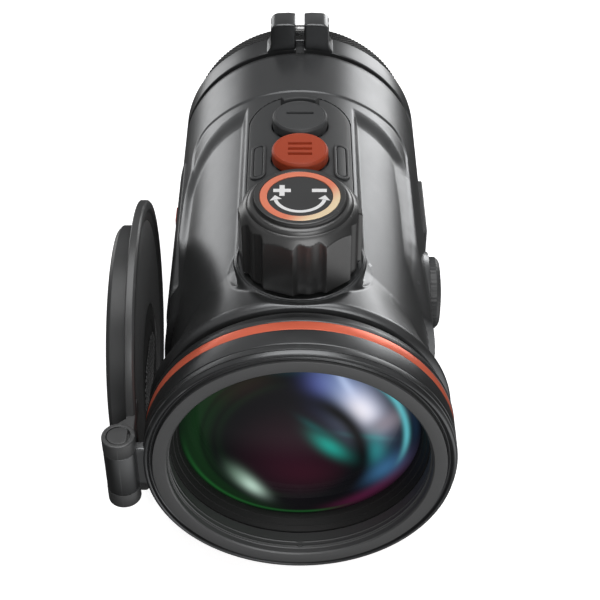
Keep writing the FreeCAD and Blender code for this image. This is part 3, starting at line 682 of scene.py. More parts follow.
def grown(name, tree, body, slot, **values):
    """The plain mesh that a tree makes with these inputs."""
    host = bpy.data.objects.new(name, bpy.data.meshes.new(name))
    bpy.context.scene.collection.objects.link(host)
    modifier = host.modifiers.new("repeat", "NODES")
    modifier.node_group = tree
    for item in tree.interface.items_tree:
        label = item.name.replace(" ", "_").lower()
        if item.in_out == "INPUT" and label in values:
            modifier[item.identifier] = values[label]
    bpy.context.view_layer.update()
    ready = host.evaluated_get(bpy.context.evaluated_depsgraph_get())
    mesh = bpy.data.meshes.new_from_object(ready)
    mesh.name = name
    host.modifiers.clear()
    host.data = mesh
    mesh.shade_smooth()
    mesh.set_sharp_from_angle(angle=math.radians(30))
    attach(host, body)
    return host


def studs_round_ring(graph, field):
    """Pyramids standing out of a cylinder on the optical axis, every second row shifted."""
    index = graph.node("GeometryNodeInputIndex")
    row = (index / field["Around"]).floor()
    column = index % field["Around"]
    angle = (column + (row % 2.0) * 0.5) * (2 * math.pi) / field["Around"]
    out = graph.vector(angle.sin(), 0.0, angle.cos())
    spot = graph.vector(angle.sin() * field["Radius"],
                        field["Station"] + row * field["Pitch"],
                        angle.cos() * field["Radius"] + AXIS * MM)
    dots = graph.node("GeometryNodePoints", None,
                      {"Count": field["Around"] * field["Rows"], "Position": spot})
    stud = graph.node("GeometryNodeMeshCone", None, {
        "Vertices": 4, "Radius Bottom": field["Stud"], "Radius Top": field["Stud"] * 0.3,
        "Depth": field["Rise"]})
    turn = graph.node("FunctionNodeAlignRotationToVector", {"axis": "Z"}, {"Vector": out})
    return graph.node("GeometryNodeInstanceOnPoints", None,
                      {"Points": dots, "Instance": stud, "Rotation": turn})


def studs_on_patch(graph, field):
    """Many-sided studs on an upright patch facing +X, in staggered rows inside an oval."""
    index = graph.node("GeometryNodeInputIndex")
    row = (index / field["Across"]).floor()
    column = index % field["Across"]
    y = (column + (row % 2.0) * 0.5 - (field["Across"] - 1.0) * 0.5) * field["Pitch"]
    z = (row - (field["Rows"] - 1.0) * 0.5) * field["Pitch"] * 0.866
    spot = graph.vector(field["X"], field["Y"] + y, field["Z"] + z)
    dots = graph.node("GeometryNodePoints", None,
                      {"Count": field["Across"] * field["Rows"], "Position": spot})
    far = (y / field["Half Y"]) ** 2.0 + (z / field["Half Z"]) ** 2.0
    stud = graph.node("GeometryNodeMeshCone", None, {
        "Vertices": 6, "Radius Bottom": field["Stud"], "Radius Top": field["Stud"] * 0.7,
        "Depth": field["Rise"]})
    turn = graph.node("FunctionNodeAlignRotationToVector", {"axis": "Z"},
                      {"Vector": (1.0, 0.0, 0.0)})
    return graph.node("GeometryNodeInstanceOnPoints", None,
                      {"Points": dots, "Selection": far.maths("LESS_THAN", far, 1.0),
                       "Instance": stud, "Rotation": turn})


def beads_along_line(graph, field):
    """Thread turns: flat rings side by side along X."""
    count = field["Turns"]
    index = graph.node("GeometryNodeInputIndex")
    spot = graph.vector(field["X"] + index * field["Pitch"], field["Y"], field["Z"])
    dots = graph.node("GeometryNodePoints", None, {"Count": count, "Position": spot})
    crest = graph.node("GeometryNodeMeshCone", None, {
        "Vertices": 32, "Radius Bottom": field["Radius"] * 0.86, "Radius Top": field["Radius"],
        "Depth": field["Pitch"] * 0.5})
    turn = graph.node("FunctionNodeAlignRotationToVector", {"axis": "Z"},
                      {"Vector": (1.0, 0.0, 0.0)})
    return graph.node("GeometryNodeInstanceOnPoints", None,
                      {"Points": dots, "Instance": crest, "Rotation": turn})


RING_STUDS = repeat_tree("ring_studs", {
    "Around": "Int", "Rows": "Int", "Radius": "Float", "Station": "Float", "Pitch": "Float",
    "Stud": "Float", "Rise": "Float", "Finish": "Material"}, studs_round_ring)
PATCH_STUDS = repeat_tree("patch_studs", {
    "Across": "Int", "Rows": "Int", "X": "Float", "Y": "Float", "Z": "Float", "Pitch": "Float",
    "Half Y": "Float", "Half Z": "Float", "Stud": "Float", "Rise": "Float",
    "Finish": "Material"}, studs_on_patch)
THREAD = repeat_tree("thread_turns", {
    "Turns": "Int", "X": "Float", "Y": "Float", "Z": "Float", "Pitch": "Float",
    "Radius": "Float", "Finish": "Material"}, beads_along_line)


# ------------------------------------------------------------------ objective head

HINGE_X, HINGE_S = -38.4, 0.9
KNUCKLE, HINGE_HALF = 5.7, 9.6


def make_head():
    rim = on_axis([
        (0.62, 31.86, 0.1), (1.15, 32.25, 0.3), (0.95, 32.6, 0.3), (0.42, 32.86, 0.25),
        (0.27, 33.2, 0.25), (0.5, 33.62, 0.3), (1.35, 33.86, 0.1), (1.5, 33.80, 0.03),
        (1.56, 33.99, 0.04), (2.98, 33.99, 0.08), (2.98, 32.4), (6, 32.4), (6, 31.86)])
    knuckle = upright([
        (-KNUCKLE + 0.04, 1.62), (-KNUCKLE + 0.04, 3.55, 0.15),
        (KNUCKLE - 0.04, 3.55, 0.15), (KNUCKLE - 0.04, 1.62)], HINGE_S, HINGE_X)
    loop = thick([(-36.8, -KNUCKLE + 0.1), (-32.6, -KNUCKLE + 0.1), (-32.6, KNUCKLE - 0.1),
                  (-36.8, KNUCKLE - 0.1)])
    bridge = slab(loop, lambda x, z, h: (x, FRONT + 0.62 - h, AXIS + z), 2.0, 0.3)
    piece("front_bezel_looks", [rim, knuckle, bridge], HEAD, "camera",
          ["front_bezel"])

    def notch(along, radius, angle):
        """The thin bright lip in the bore is broken by a spanner notch at the bottom."""
        at_bottom = abs(angle - math.pi) < 0.030
        return (along, 28.52) if radius < 28.45 and at_bottom else (along, radius)

    piece("retaining_ring_looks", [on_axis([
        (0.32, 28.67, 0.05), (0.0, 28.98, 0.12), (0.0, 31.72, 0.12), (2.6, 31.74),
        (2.6, 30.4), (6, 30.4), (6, 28.52), (5.7, 28.5), (3.62, 28.5, 0.04),
        (3.5, 28.36, 0.04), (3.3, 28.36, 0.04), (3.2, 28.5, 0.04), (2.35, 28.5, 0.04),
        (2.2, 28.28, 0.05), (2.0, 28.28, 0.05), (1.9, 28.52, 0.04), (1.7, 28.5, 0.03),
        (1.5, 28.67, 0.04)], 360, 3, notch)], RETAINER, "camera",
        ["retaining_ring"])

    piece("focus_ring_looks", [on_axis([
        (3.15, 32.5), (3.15, 33.8, 0.1), (3.3, 34.0, 0.1), (7.3, 34.0, 0.06),
        (7.4, 33.86, 0.03), (7.4, 33.12), (9.95, 33.12), (9.95, 33.86, 0.03),
        (10.05, 34.0, 0.06), (11.0, 34.0, 0.5), (12.7, 33.42, 0.25), (13.2, 33.1, 0.1),
        (13.2, 31.86), (6.3, 31.86), (6.3, 32.5)])], HEAD, "focus_band",
        ["focus_ring"])
    piece("focus_accent_looks", [on_axis([
        (7.44, 33.12), (7.44, 33.92, 0.12), (9.91, 33.92, 0.12), (9.91, 33.12)], 288)],
        ACCENT, "focus_band", ["focus_accent_ring"])
    piece("lens_baffle_looks", [on_axis([
        (6.2, 28.88), (6.2, 28.2, 0.05), (7.4, 27.75, 0.05), (7.45, 27.6, 0.05),
        (8.9, 27.1, 0.05), (8.95, 26.98, 0.05), (10.3, 26.6, 0.05), (10.4, 28.88)])],
        BLACK, "camera", ["lens_baffle"])

    curve, vertex, reach = 75.0, 5.65, 28.86
    profile = []
    for k in range(31):
        radius = reach * k / 30
        profile.append((vertex + curve - math.sqrt(curve ** 2 - radius ** 2), radius))
    profile += [(16.5, reach, 0.2), (12.65, 0.0)]
    piece("front_lens_looks", [on_axis(profile, 180)], LENS, "camera",
          ["front_lens"], 40)


# ------------------------------------------------------------------ housing

SKIN, FRAME_SKIN, FLOOR = 31.6, 31.32, 30.0
DECK_OUT, DECK_IN = 13.3, 15.3
SEAT = 31.0         # top of the lip round the knob, over the optical axis
PANEL_LOOP = ([(12.5, 48.4)] + arc(9.5, range(0, 91, 9), 3.0, 87.3) +
              arc(9.5, range(90, 181, 9), -3.0, 87.3) + [(-12.5, 48.4)])


def body_surface(s, a):
    """Radius of the housing's skin at stations s and angles a (degrees from the top)."""
    turn = np.abs(a)
    right = a > 0
    crease = np.interp(turn, [0, 30, 37, 46, 56, 62, 80], [36, 35, 33, 31, 28.2, 26.4, 25.5])
    flare = np.clip(1 - (s - 17) / (crease - 17), 0, 1)
    lip = np.where(s < 17, -0.95 * np.clip((17 - s) / 1.8, 0, 1) ** 3, 0)
    floor = FLOOR + 3.7 * flare ** 1.3 + lip

    sine = np.sin(np.radians(a))
    across = np.abs(SKIN * sine)
    wall_out = np.interp(turn, [26, 39, 48, 56, 61, 66, 72], [96.6, 95.4, 93.3, 90.2, 87, 82, 75])
    wall_in = np.interp(turn, [30, 40, 48, 55, 60, 66, 72], [91.2, 89.8, 88.2, 85.4, 82, 76, 69])
    side_in = np.where(right, np.interp(s, [37, 43, 52, 70, 85], [68, 62, 54.5, 54.2, 52]),
                       np.interp(s, [37, 60, 83], [68, 65, 62.5]))
    side_out = np.where(right, np.interp(s, [38, 49, 58, 84, 90], [76, 69, 62.8, 62.2, 59]),
                        np.interp(s, [38, 63, 83, 90], [74, 71, 66.5, 63.5]))
    rear = (s - wall_in) / (wall_out - wall_in)
    deck = (DECK_IN - across) / (DECK_IN - DECK_OUT) - 3 * (1 - smooth(s, 27, 37))
    side = (turn - side_in) / (side_out - side_in) - 3 * (1 - smooth(s, 34.5, 38))
    rise = np.maximum(soft_max(rear, side, 0.3), deck)
    wide = np.clip(rise, 0, 1)
    wide = wide - 0.06 * np.sin(2 * np.pi * wide)

    span = SKIN * np.radians(turn)
    corner = 7.0
    du = span - (SKIN * math.radians(60.5) - corner)
    ds = s - (99.6 - corner)
    edge = np.where((du > 0) & (ds > 0), np.hypot(np.maximum(du, 0), np.maximum(ds, 0)) - corner,
                    np.maximum(du, ds) - corner)
    skin = FRAME_SKIN + (SKIN - FRAME_SKIN) * smooth(edge, -0.45, 0.35)
    skin = skin - 0.4 * np.clip((s - 117.4) / 0.5, 0, 1)
    base = np.where(rise > -2, floor + (skin - floor) * wide, floor)
    base = np.maximum(base, np.where(s > 60, FLOOR, floor))

    radius = base
    for _ in range(6):
        x = radius * sine
        d = np.hypot(x, s - KNOB_S)
        ahead = (KNOB_S - s) / np.maximum(d, 1e-6)
        past = np.maximum(d - 13.9, 0)
        boss = (SEAT - 0.25) - 0.25 * past - 1.1 * past ** 2
        slope = 0.78 + 9 * smooth(-ahead, -0.75, -0.1)
        bowl = (SEAT - 0.45) + slope * np.maximum(d - 14.6, 0)
        height = base * np.cos(np.radians(a))
        up = soft_max(soft_min(height, bowl, 0.8), boss, 1.1)
        up = np.where(d < 13.9, SEAT - 0.25, up)
        up = np.where(d < 13.5, 30.0, up)
        near = (d < 22) & (turn < 60)
        radius = np.where(near, up / np.cos(np.radians(a)), base)
        radius = np.where((s < 21.1) & (d > 13.55), soft_max(radius, 30.9, 0.4), radius)

    x = radius * sine
    low, high = 48.3, 96.9
    half = 12.6
    du = np.abs(x) - (half - 9.6)
    ds = s - (high - 9.6)
    rounded_end = np.where((du > 0) & (ds > 0), np.hypot(du, ds) - 9.6,
                           np.maximum(np.abs(x) - half, np.maximum(s - high, low - s)))
    pocket = (rounded_end < 0) & (turn < 40)
    radius = np.where(pocket, 29.8, radius)

    z = radius * np.cos(np.radians(a))
    on_right = right & (np.abs(a - 90) < 22)
    flap = on_right & (np.abs(z) < 5.35) & (s > 75.7) & (s < 98.3)
    radius = np.where(flap, 30.5 / np.maximum(sine, 0.5), radius)
    window = on_right & (np.abs(z) < 1.9) & (s > 82.2) & (s < 91.8)
    radius = np.where(window, 28.8, radius)
    seat = on_right & (np.hypot(z, s - 58) < 9.1)
    radius = np.where(seat, 30.5 / np.maximum(sine, 0.5), radius)
    return radius


def make_housing():
    angles = np.concatenate([
        np.arange(-80, 80, 0.55), np.arange(80, 104, 0.8), np.arange(104, 176, 4.5),
        np.arange(176, 256, 4.5), np.arange(256, 280, 0.8)])
    stations = np.concatenate([
        [15.2, 15.3, 15.45, 15.65, 15.9, 16.2, 16.6, 17, 17.5, 18, 18.5],
        np.arange(19, 50, 0.4), np.arange(50, 75.4, 0.85), np.arange(75.4, 84, 0.65),
        np.arange(84, 101, 0.34), np.arange(101, 117.3, 1.1), [117.4, 117.6, 117.9]])
    signed = (angles + 180) % 360 - 180
    s, a = np.meshgrid(stations, signed, indexing="ij")
    radius = body_surface(s, a)
    rows = [(stations[i], radius[i]) for i in range(len(stations))]
    flat = np.ones(len(angles))
    rows += [(117.9, 28.5 * flat), (18.8, 28.5 * flat), (18.8, 30.62 * flat), (15.2, 30.62 * flat)]
    sine, cosine = np.sin(np.radians(angles)), np.cos(np.radians(angles))
    points = [(r * sn, FRONT + st, AXIS + r * cs)
              for st, ring in rows for r, sn, cs in zip(ring, sine, cosine)]
    faces = lattice(len(rows), len(angles), True)
    seat = upright([
        (28.6, 13.66), (SEAT, 13.66, 0.08), (SEAT, 13.86, 0.08), (SEAT - 0.3, 14.1, 0.2),
        (SEAT - 1.3, 14.3, 0.1), (28.6, 14.4)], KNOB_S, 0, 192)
    floor = upright([(28.6, 3.7), (30.18, 3.7), (30.18, 13.68), (28.6, 13.68)],
                    KNOB_S, 0, 96)
    piece("housing_looks", [(points, faces), seat, floor], HOUSING, "camera",
          ["housing"], 50)
    rim = sideways([(29.6, 9.12), (31.2, 9.12, 0.1), (31.2, 9.9, 0.2), (29.6, 10.4)], 58)
    piece("cap_seat_rim", [rim], HOUSING, "camera")


# ------------------------------------------------------------------ controls

MODE_S, POWER_S, BUTTON_R, BUTTON_TOP = 71.2, 85.2, 6.75, 33.9


def make_controls():
    holes = [circle(0, station, BUTTON_R + 0.2) for station in (MODE_S, POWER_S)]
    plate = slab(thick(PANEL_LOOP, 1.2), round_top(FRAME_SKIN), 1.45, 0.18, holes)
    shells = [plate]
    for side in (-1, 1):
        outer = round_rect(side * 9.95, 71, 1.85, 7.0, 1.8)
        inner = round_rect(side * 9.95, 71, 1.15, 6.1, 1.1)
        shells.append(slab(outer, round_top(FRAME_SKIN + 0.55), 1.0, 0.22, [inner]))
        shells.append(slab(round_rect(side * 9.95, 71, 1.0, 5.9, 0.95),
                           round_top(FRAME_SKIN + 0.42), 1.0, 0.15))
    piece("control_panel_looks", shells, PANEL, "camera", ["control_panel"], 35)

    bars = [round_rect(0, MODE_S + shift, 2.9, 0.55, 0.2, 3) for shift in (-2.1, 0.0, 2.1)]
    for name, station, finish, slot, pockets in (
            ("mode", MODE_S, ACCENT_RUBBER, "accent_rubber", bars),
            ("power", POWER_S, BUTTON_RUBBER, "button_rubber",
             [round_rect(0, POWER_S + 1.05, 3.35, 0.56, 0.12, 3)])):
        top = slab(circle(0, station, BUTTON_R - 0.75, 96), flat_top(BUTTON_TOP - 0.12), 1.1,
                   0.2, (), pockets, 0.85, 0.9)
        cap = upright([
            (BUTTON_TOP - 3.0, 0.0), (BUTTON_TOP - 3.0, BUTTON_R, 0.2),
            (BUTTON_TOP - 0.75, BUTTON_R, 0.45), (BUTTON_TOP - 0.05, BUTTON_R - 0.45, 0.25),
            (BUTTON_TOP - 0.16, BUTTON_R - 0.8, 0.1), (BUTTON_TOP - 0.35, BUTTON_R - 0.9, 0.1),
            (BUTTON_TOP - 1.15, BUTTON_R - 0.95), (BUTTON_TOP - 1.15, 0.0)], station)
        stem = upright([(BUTTON_TOP - 5.6, 0.0), (BUTTON_TOP - 5.6, 2.2, 0.2),
                        (BUTTON_TOP - 2.9, 2.2), (BUTTON_TOP - 2.9, 0.0)], station, 0, 48)
        piece(f"{name}_button_looks", [cap, top, stem], finish, f"{name}_key",
              [f"{name}_button"], 40)

    arch = (arc(8.85, range(57, 124, 3), 0, POWER_S) +
            arc(7.05, range(123, 56, -3), 0, POWER_S))
    piece("power_arch", [slab(arch, flat_top(BUTTON_TOP + 0.35), 3.1, 0.4)],
          GRIP_RUBBER, "camera", (), 40)


GRIP, FACET, FLUTE = 13.4, 14.5, 0.85   # radius, half angle of a facet, depth of a flute


def knob_outline(angle):
    """Radius of the grip at an angle in degrees from the front, to the right."""
    local = (angle + 21 + 30) % 60 - 30
    if abs(local) <= FACET:
        return GRIP * math.cos(math.radians(FACET)) / math.cos(math.radians(local))
    u = abs((angle - 9 + 30) % 60 - 30) / (30 - FACET)
    if u > 0.62:
        cut = math.sin(math.pi / 2 * max(0.0, 1 - u) / 0.38)
    else:
        cut = 0.62 + 0.19 * (1 - math.cos(math.pi * u / 0.62))
    return GRIP - FLUTE * cut


def make_knob():
    columns = 480
    bottom, top = 31.15, 48.0
    outline = [knob_outline(360 * k / columns) for k in range(columns)]
    levels = [(bottom, GRIP - 0.25), (bottom + 0.3, GRIP)]
    levels += [(bottom + 0.3 + 12.1 * k / 6, GRIP) for k in range(1, 7)]
    levels += [(43.6 + 1.9 * k / 9, GRIP - 1.4 * k / 9) for k in range(1, 10)]
    levels += [(45.72, 11.78), (45.95, 11.55), (46.02, 11.42), (45.98, 11.34), (46.15, 11.25),
               (46.45, 11.1), (46.75, 10.85), (46.98, 10.5), (47.08, 10.2), (47.06, 9.98),
               (47.0, 9.88), (47.15, 9.82), (47.5, 9.8), (47.8, 9.76), (47.92, 9.68),
               (47.97, 9.5), (48.0, 9.2), (48.0, 8.68), (47.9, 8.62), (46.75, 8.6),
               (46.75, 0.4), (46.75, 0.0)]
    points = []
    for z, limit in levels:
        for k in range(columns):
            angle = math.radians(360 * k / columns)
            radius = min(outline[k], limit)
            if z < 31.3:
                radius = outline[k] - 0.25
            points.append((radius * math.sin(angle), FRONT + KNOB_S - radius * math.cos(angle),
                           AXIS + z))
    faces = lattice(len(levels), columns) + [tuple(range(columns))]
    piece("knob_looks", [(points, faces)], KNOB, "rotary_knob", ["knob"], 28)
    piece("knob_accent_looks", [upright([
        (top - 1.15, 6.98), (top - 0.03, 6.98, 0.06), (top - 0.03, 8.53, 0.08),
        (top - 1.15, 8.53)], KNOB_S, 0, 192)], ACCENT_TOP, "rotary_knob",
        ["knob_accent_ring"], 50)
    disc = upright([(top - 1.15, 0.0), (top - 1.15, 6.95), (top - 0.22, 6.95, 0.06),
                    (top - 0.16, 6.75, 0.1), (top - 0.16, 0.0)], KNOB_S, 0, 128)
    piece("knob_disc_looks", [disc], DISC, "rotary_knob", ["knob_disc"])

    def legend(loop):
        moved = [(x, KNOB_S + y) for x, y in loop]
        return slab(thick(moved, 0.8), flat_top(top - 0.12), 0.10, 0.02, (), (), 0.3, 0)

    long, half = 1.87, 0.56
    plus = [(-3.8 + x, 1.95 + y) for x, y in (
        (long, -half), (long, half), (half, half), (half, long), (-half, long), (-half, half),
        (-long, half), (-long, -half), (-half, -half), (-half, -long), (half, -long),
        (half, -half))]
    minus = round_rect(4.1, 1.95, 1.58, 0.56, 0.03, 1)
    bow = arc(5.72, range(195, 346, 5)) + arc(4.92, range(345, 194, -5))
    shells = [legend(plus), legend(minus), legend(bow)]
    for side in (-1, 1):
        base, tip = 270 + side * 76, 270 + side * 93
        head = [arc(radius, [angle])[0]
                for radius, angle in ((6.55, base), (5.3, tip), (3.95, base), (5.3, base))]
        shells.append(legend(head if area(head) > 0 else head[::-1]))
    piece("knob_legend", shells, PAINT, "rotary_knob", (), 40)


# ------------------------------------------------------------------ sides and foot

def make_sides():
    def left_place(s, z, h):
        return (-math.sqrt(31.95 ** 2 - z * z) - h, FRONT + s, AXIS + z)

    loop = round_rect(72.5, 0, 26.4, 10.9, 2.5)
    slot = round_rect(88, 0, 3.05, 1.45, 0.7, 4)
    screws = [circle(s, z, 1.25, 32) for s in (49, 96) for z in (-8, 8)]
    ribs = [round_rect(s, 0, 0.45, 5.5, 0.4, 3) for s in np.arange(56, 80, 2.4)]
    piece("left_cover_looks", [slab(loop, left_place, 1.6, 0.35, (), [slot] + screws + ribs,
                                    0.45)], PANEL, "camera", ["left_cover"], 40)
    piece("side_accent_looks", [slab(round_rect(88, 0, 2.95, 1.35, 0.6, 4),
                                     lambda s, z, h: left_place(s, z, h + 0.42), 0.9, 0.25)],
          ACCENT_RUBBER, "camera", ["side_accent"], 40)

    heads = []
    for s in (49, 96):
        for z in (-8, 8):
            place = lambda u, v, h, s=s, z=z: left_place(s + u, z + v, h - 0.12)
            heads.append(slab(circle(0, 0, 1.1, 32), place, 1.2, 0.15, (),
                              [circle(0, 0, 0.5, 6)], 0.5, 0.5))
    piece("cover_screws_looks", heads, STEEL, "camera", ["cover_screws"])

    def right_place(s, z, h):
        return (32.2 + h, FRONT + s, AXIS + z)

    ribs = [round_rect(s, 0, 0.4, 3.4, 0.35, 3) for s in np.arange(94.0, 97.4, 1.2)]
    piece("port_flap_looks", [slab(round_rect(87, 0, 10.95, 5.05, 1.2), right_place, 1.6, 0.4,
                                   (), ribs, 0.3)], BUTTON_RUBBER, "flap",
          ["port_flap"], 40)

    def grip(along, radius, angle):
        """A finely ribbed rim on the screw cap."""
        worn = 0.06 * (0.5 + 0.5 * math.cos(48 * angle)) if radius > 8.3 else 0
        return along, radius - worn

    head = sideways([
        (30.6, 0.0), (30.6, 8.8, 0.1), (32.9, 8.8, 0.3), (33.6, 8.1, 0.3), (33.85, 7.6, 0.2),
        (33.9, 5.9, 0.1), (33.75, 5.6, 0.1), (33.75, 5.4, 0.05), (34.15, 5.25, 0.15),
        (34.15, 0.0)], 58, 0, 384, 3, grip)
    stem = sideways([(27.6, 0.0), (27.6, 6.6, 0.2), (30.7, 6.6), (30.7, 0.0)], 58, 0, 64)
    # the coin slot is a thin near-black sheet of painted shadow, a little proud of the cap's face,
    # not a cut
    coin = slab(round_rect(58, 0, 4.3, 0.55, 0.5, 4),
                lambda s, z, h: (34.19 + h, FRONT + s, AXIS + z), 0.3, 0.04)
    piece("side_cap_looks", [head, stem, coin + (PAINTED_SLOT_SHADOW,)], PANEL, "screw_cap",
          ["side_cap"])

    def under(x, y, h):
        return (x, y, -h)

    holes = [circle(0, 0, 4.78, 64)] + [circle(0, y, 1.6, 32) for y in (-17, 17)]
    pads = [round_rect(x, y, 3.2, 5.5, 1.5) for x in (-8.2, 8.2) for y in (-14.5, 14.5)]
    foot = slab(round_rect(0, 0, 12.95, 22.95, 2.5), under, 6.9, 0.5, holes, pads, 0.3, 2.0)
    piece("base_plate_looks", [foot], HOUSING, "camera", ["base_plate"], 40)


# ------------------------------------------------------------------ rear clamp

EAR_TOP, SLOT, EAR = 39.0, 1.15, 6.5
CLAMP_FRONT, CLAMP_REAR, SCREW_Z = 119.6, 127.0, 35.4


def make_rear():
    flange = on_axis([
        (113, 22.5), (113, 28.45), (118.0, 28.45), (118.0, 30.35), (119.5, 30.35),
        (119.5, 22.5)])
    piece("rear_flange_looks", [flange], BLACK, "camera", ["rear_flange"])
    grown("rear_seam_thread", RING_STUDS, "camera", "barrel_metal", around=220, rows=4,
          radius=30.4 * MM, station=(FRONT + 118.1) * MM, pitch=0.4 * MM, stud=0.40 * MM,
          rise=0.2 * MM, finish=BLACK)

    split = math.asin(SLOT / 31)

    line = rounded([
        (CLAMP_FRONT, 28.62), (CLAMP_FRONT, 31.4, 0.25), (CLAMP_FRONT + 0.25, 31.6, 0.2),
        (CLAMP_REAR - 0.5, 31.6, 0.3), (CLAMP_REAR, 31.15, 0.2), (CLAMP_REAR, 28.62)])
    points, count, segments = [], len(line), 240
    for k in range(segments + 1):
        angle = split + (2 * math.pi - 2 * split) * k / segments
        points += [(r * math.sin(angle), FRONT + s, AXIS + r * math.cos(angle)) for s, r in line]
    faces = lattice(segments + 1, count)
    faces += [tuple(range(count)), tuple(segments * count + i for i in range(count))]
    shells = [(points, faces)]
    for side in (-1, 1):
        foot, inner, outer = 29.3, SLOT, SLOT + EAR
        flank = [(inner, foot), (outer + 1.6, foot), (outer + 0.9, 30.7), (outer + 0.25, 31.7),
                 (outer, 33.0), (outer, EAR_TOP - 2.2)]
        flank += [(outer - 2.2 + 2.2 * math.cos(math.radians(t)),
                   EAR_TOP - 2.2 + 2.0 * math.sin(math.radians(t))) for t in range(15, 91, 15)]
        flank += [(inner + 1.8, EAR_TOP - 0.08), (inner + 0.3, EAR_TOP - 0.25),
                  (inner, EAR_TOP - 0.5)]
        loop = thick([(side * x, z) for x, z in flank], 1.0)

        def ear(x, z, h):
            return (x, FRONT + CLAMP_FRONT + 0.02 - h, AXIS + z)

        shells.append(slab(loop, ear, 6.15, 0.45, (), (), 0.3, 0.9))
    piece("clamp_ring_looks", shells, HEAD, "camera", ["clamp_ring"], 35)

    y = (FRONT + CLAMP_FRONT + 3.1) * MM
    grown("clamp_screw_thread", THREAD, "pinch_screw", "steel", turns=9,
          x=-1.25 * MM, y=y, z=(AXIS + SCREW_Z) * MM, pitch=0.28 * MM, radius=1.5 * MM,
          finish=STEEL)

    def hex_socket(along, radius, angle):
        local = (math.degrees(angle) + 30) % 60 - 30
        if 0.9 < radius < 1.25:
            radius = 1.02 / math.cos(math.radians(local))
        return along, radius

    end = SLOT + EAR
    head = sideways([
        (end - 1.8, 0.0), (end - 1.8, 2.4), (end - 0.35, 2.4, 0.2), (end - 0.12, 2.15, 0.1),
        (end - 0.12, 1.2), (end - 1.1, 1.2), (end - 1.1, 0.0)], CLAMP_FRONT + 3.1, SCREW_Z,
        96, 3, hex_socket)
    shank = sideways([(-end + 0.3, 0.0), (-end + 0.3, 1.2, 0.2), (-end + 0.6, 1.35),
                      (end - 1.7, 1.35), (end - 1.7, 0.0)], CLAMP_FRONT + 3.1, SCREW_Z, 48)
    piece("clamp_screw_looks", [head, shank], STEEL, "pinch_screw", ["clamp_screw"])

    piece("adapter_ring_looks", [on_axis([
        (119.9, 25.0, 0.3), (119.9, 28.48), (127.3, 28.48), (127.3, 29.5, 0.1),
        (127.5, 29.62, 0.1), (133.9, 29.62, 0.1), (134.1, 29.45, 0.2), (134.5, 29.1, 0.3),
        (134.5, 25.4, 0.3), (134.1, 25.0, 0.2)])], HEAD, "adapter",
        ["adapter_ring"])
    grown("adapter_knurl", RING_STUDS, "adapter", "head_metal", around=170, rows=11,
          radius=29.62 * MM, station=(FRONT + 127.9) * MM, pitch=0.56 * MM, stud=0.52 * MM,
          rise=0.26 * MM, finish=BLACK)


# ------------------------------------------------------------------ lens cap

CAP_S = HINGE_S - HINGE_X
FACE_X = HINGE_X + 3.2
INLAY_DROP = AXIS - (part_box("cap_inlay")[0].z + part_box("cap_inlay")[1].z) / 2 / MM


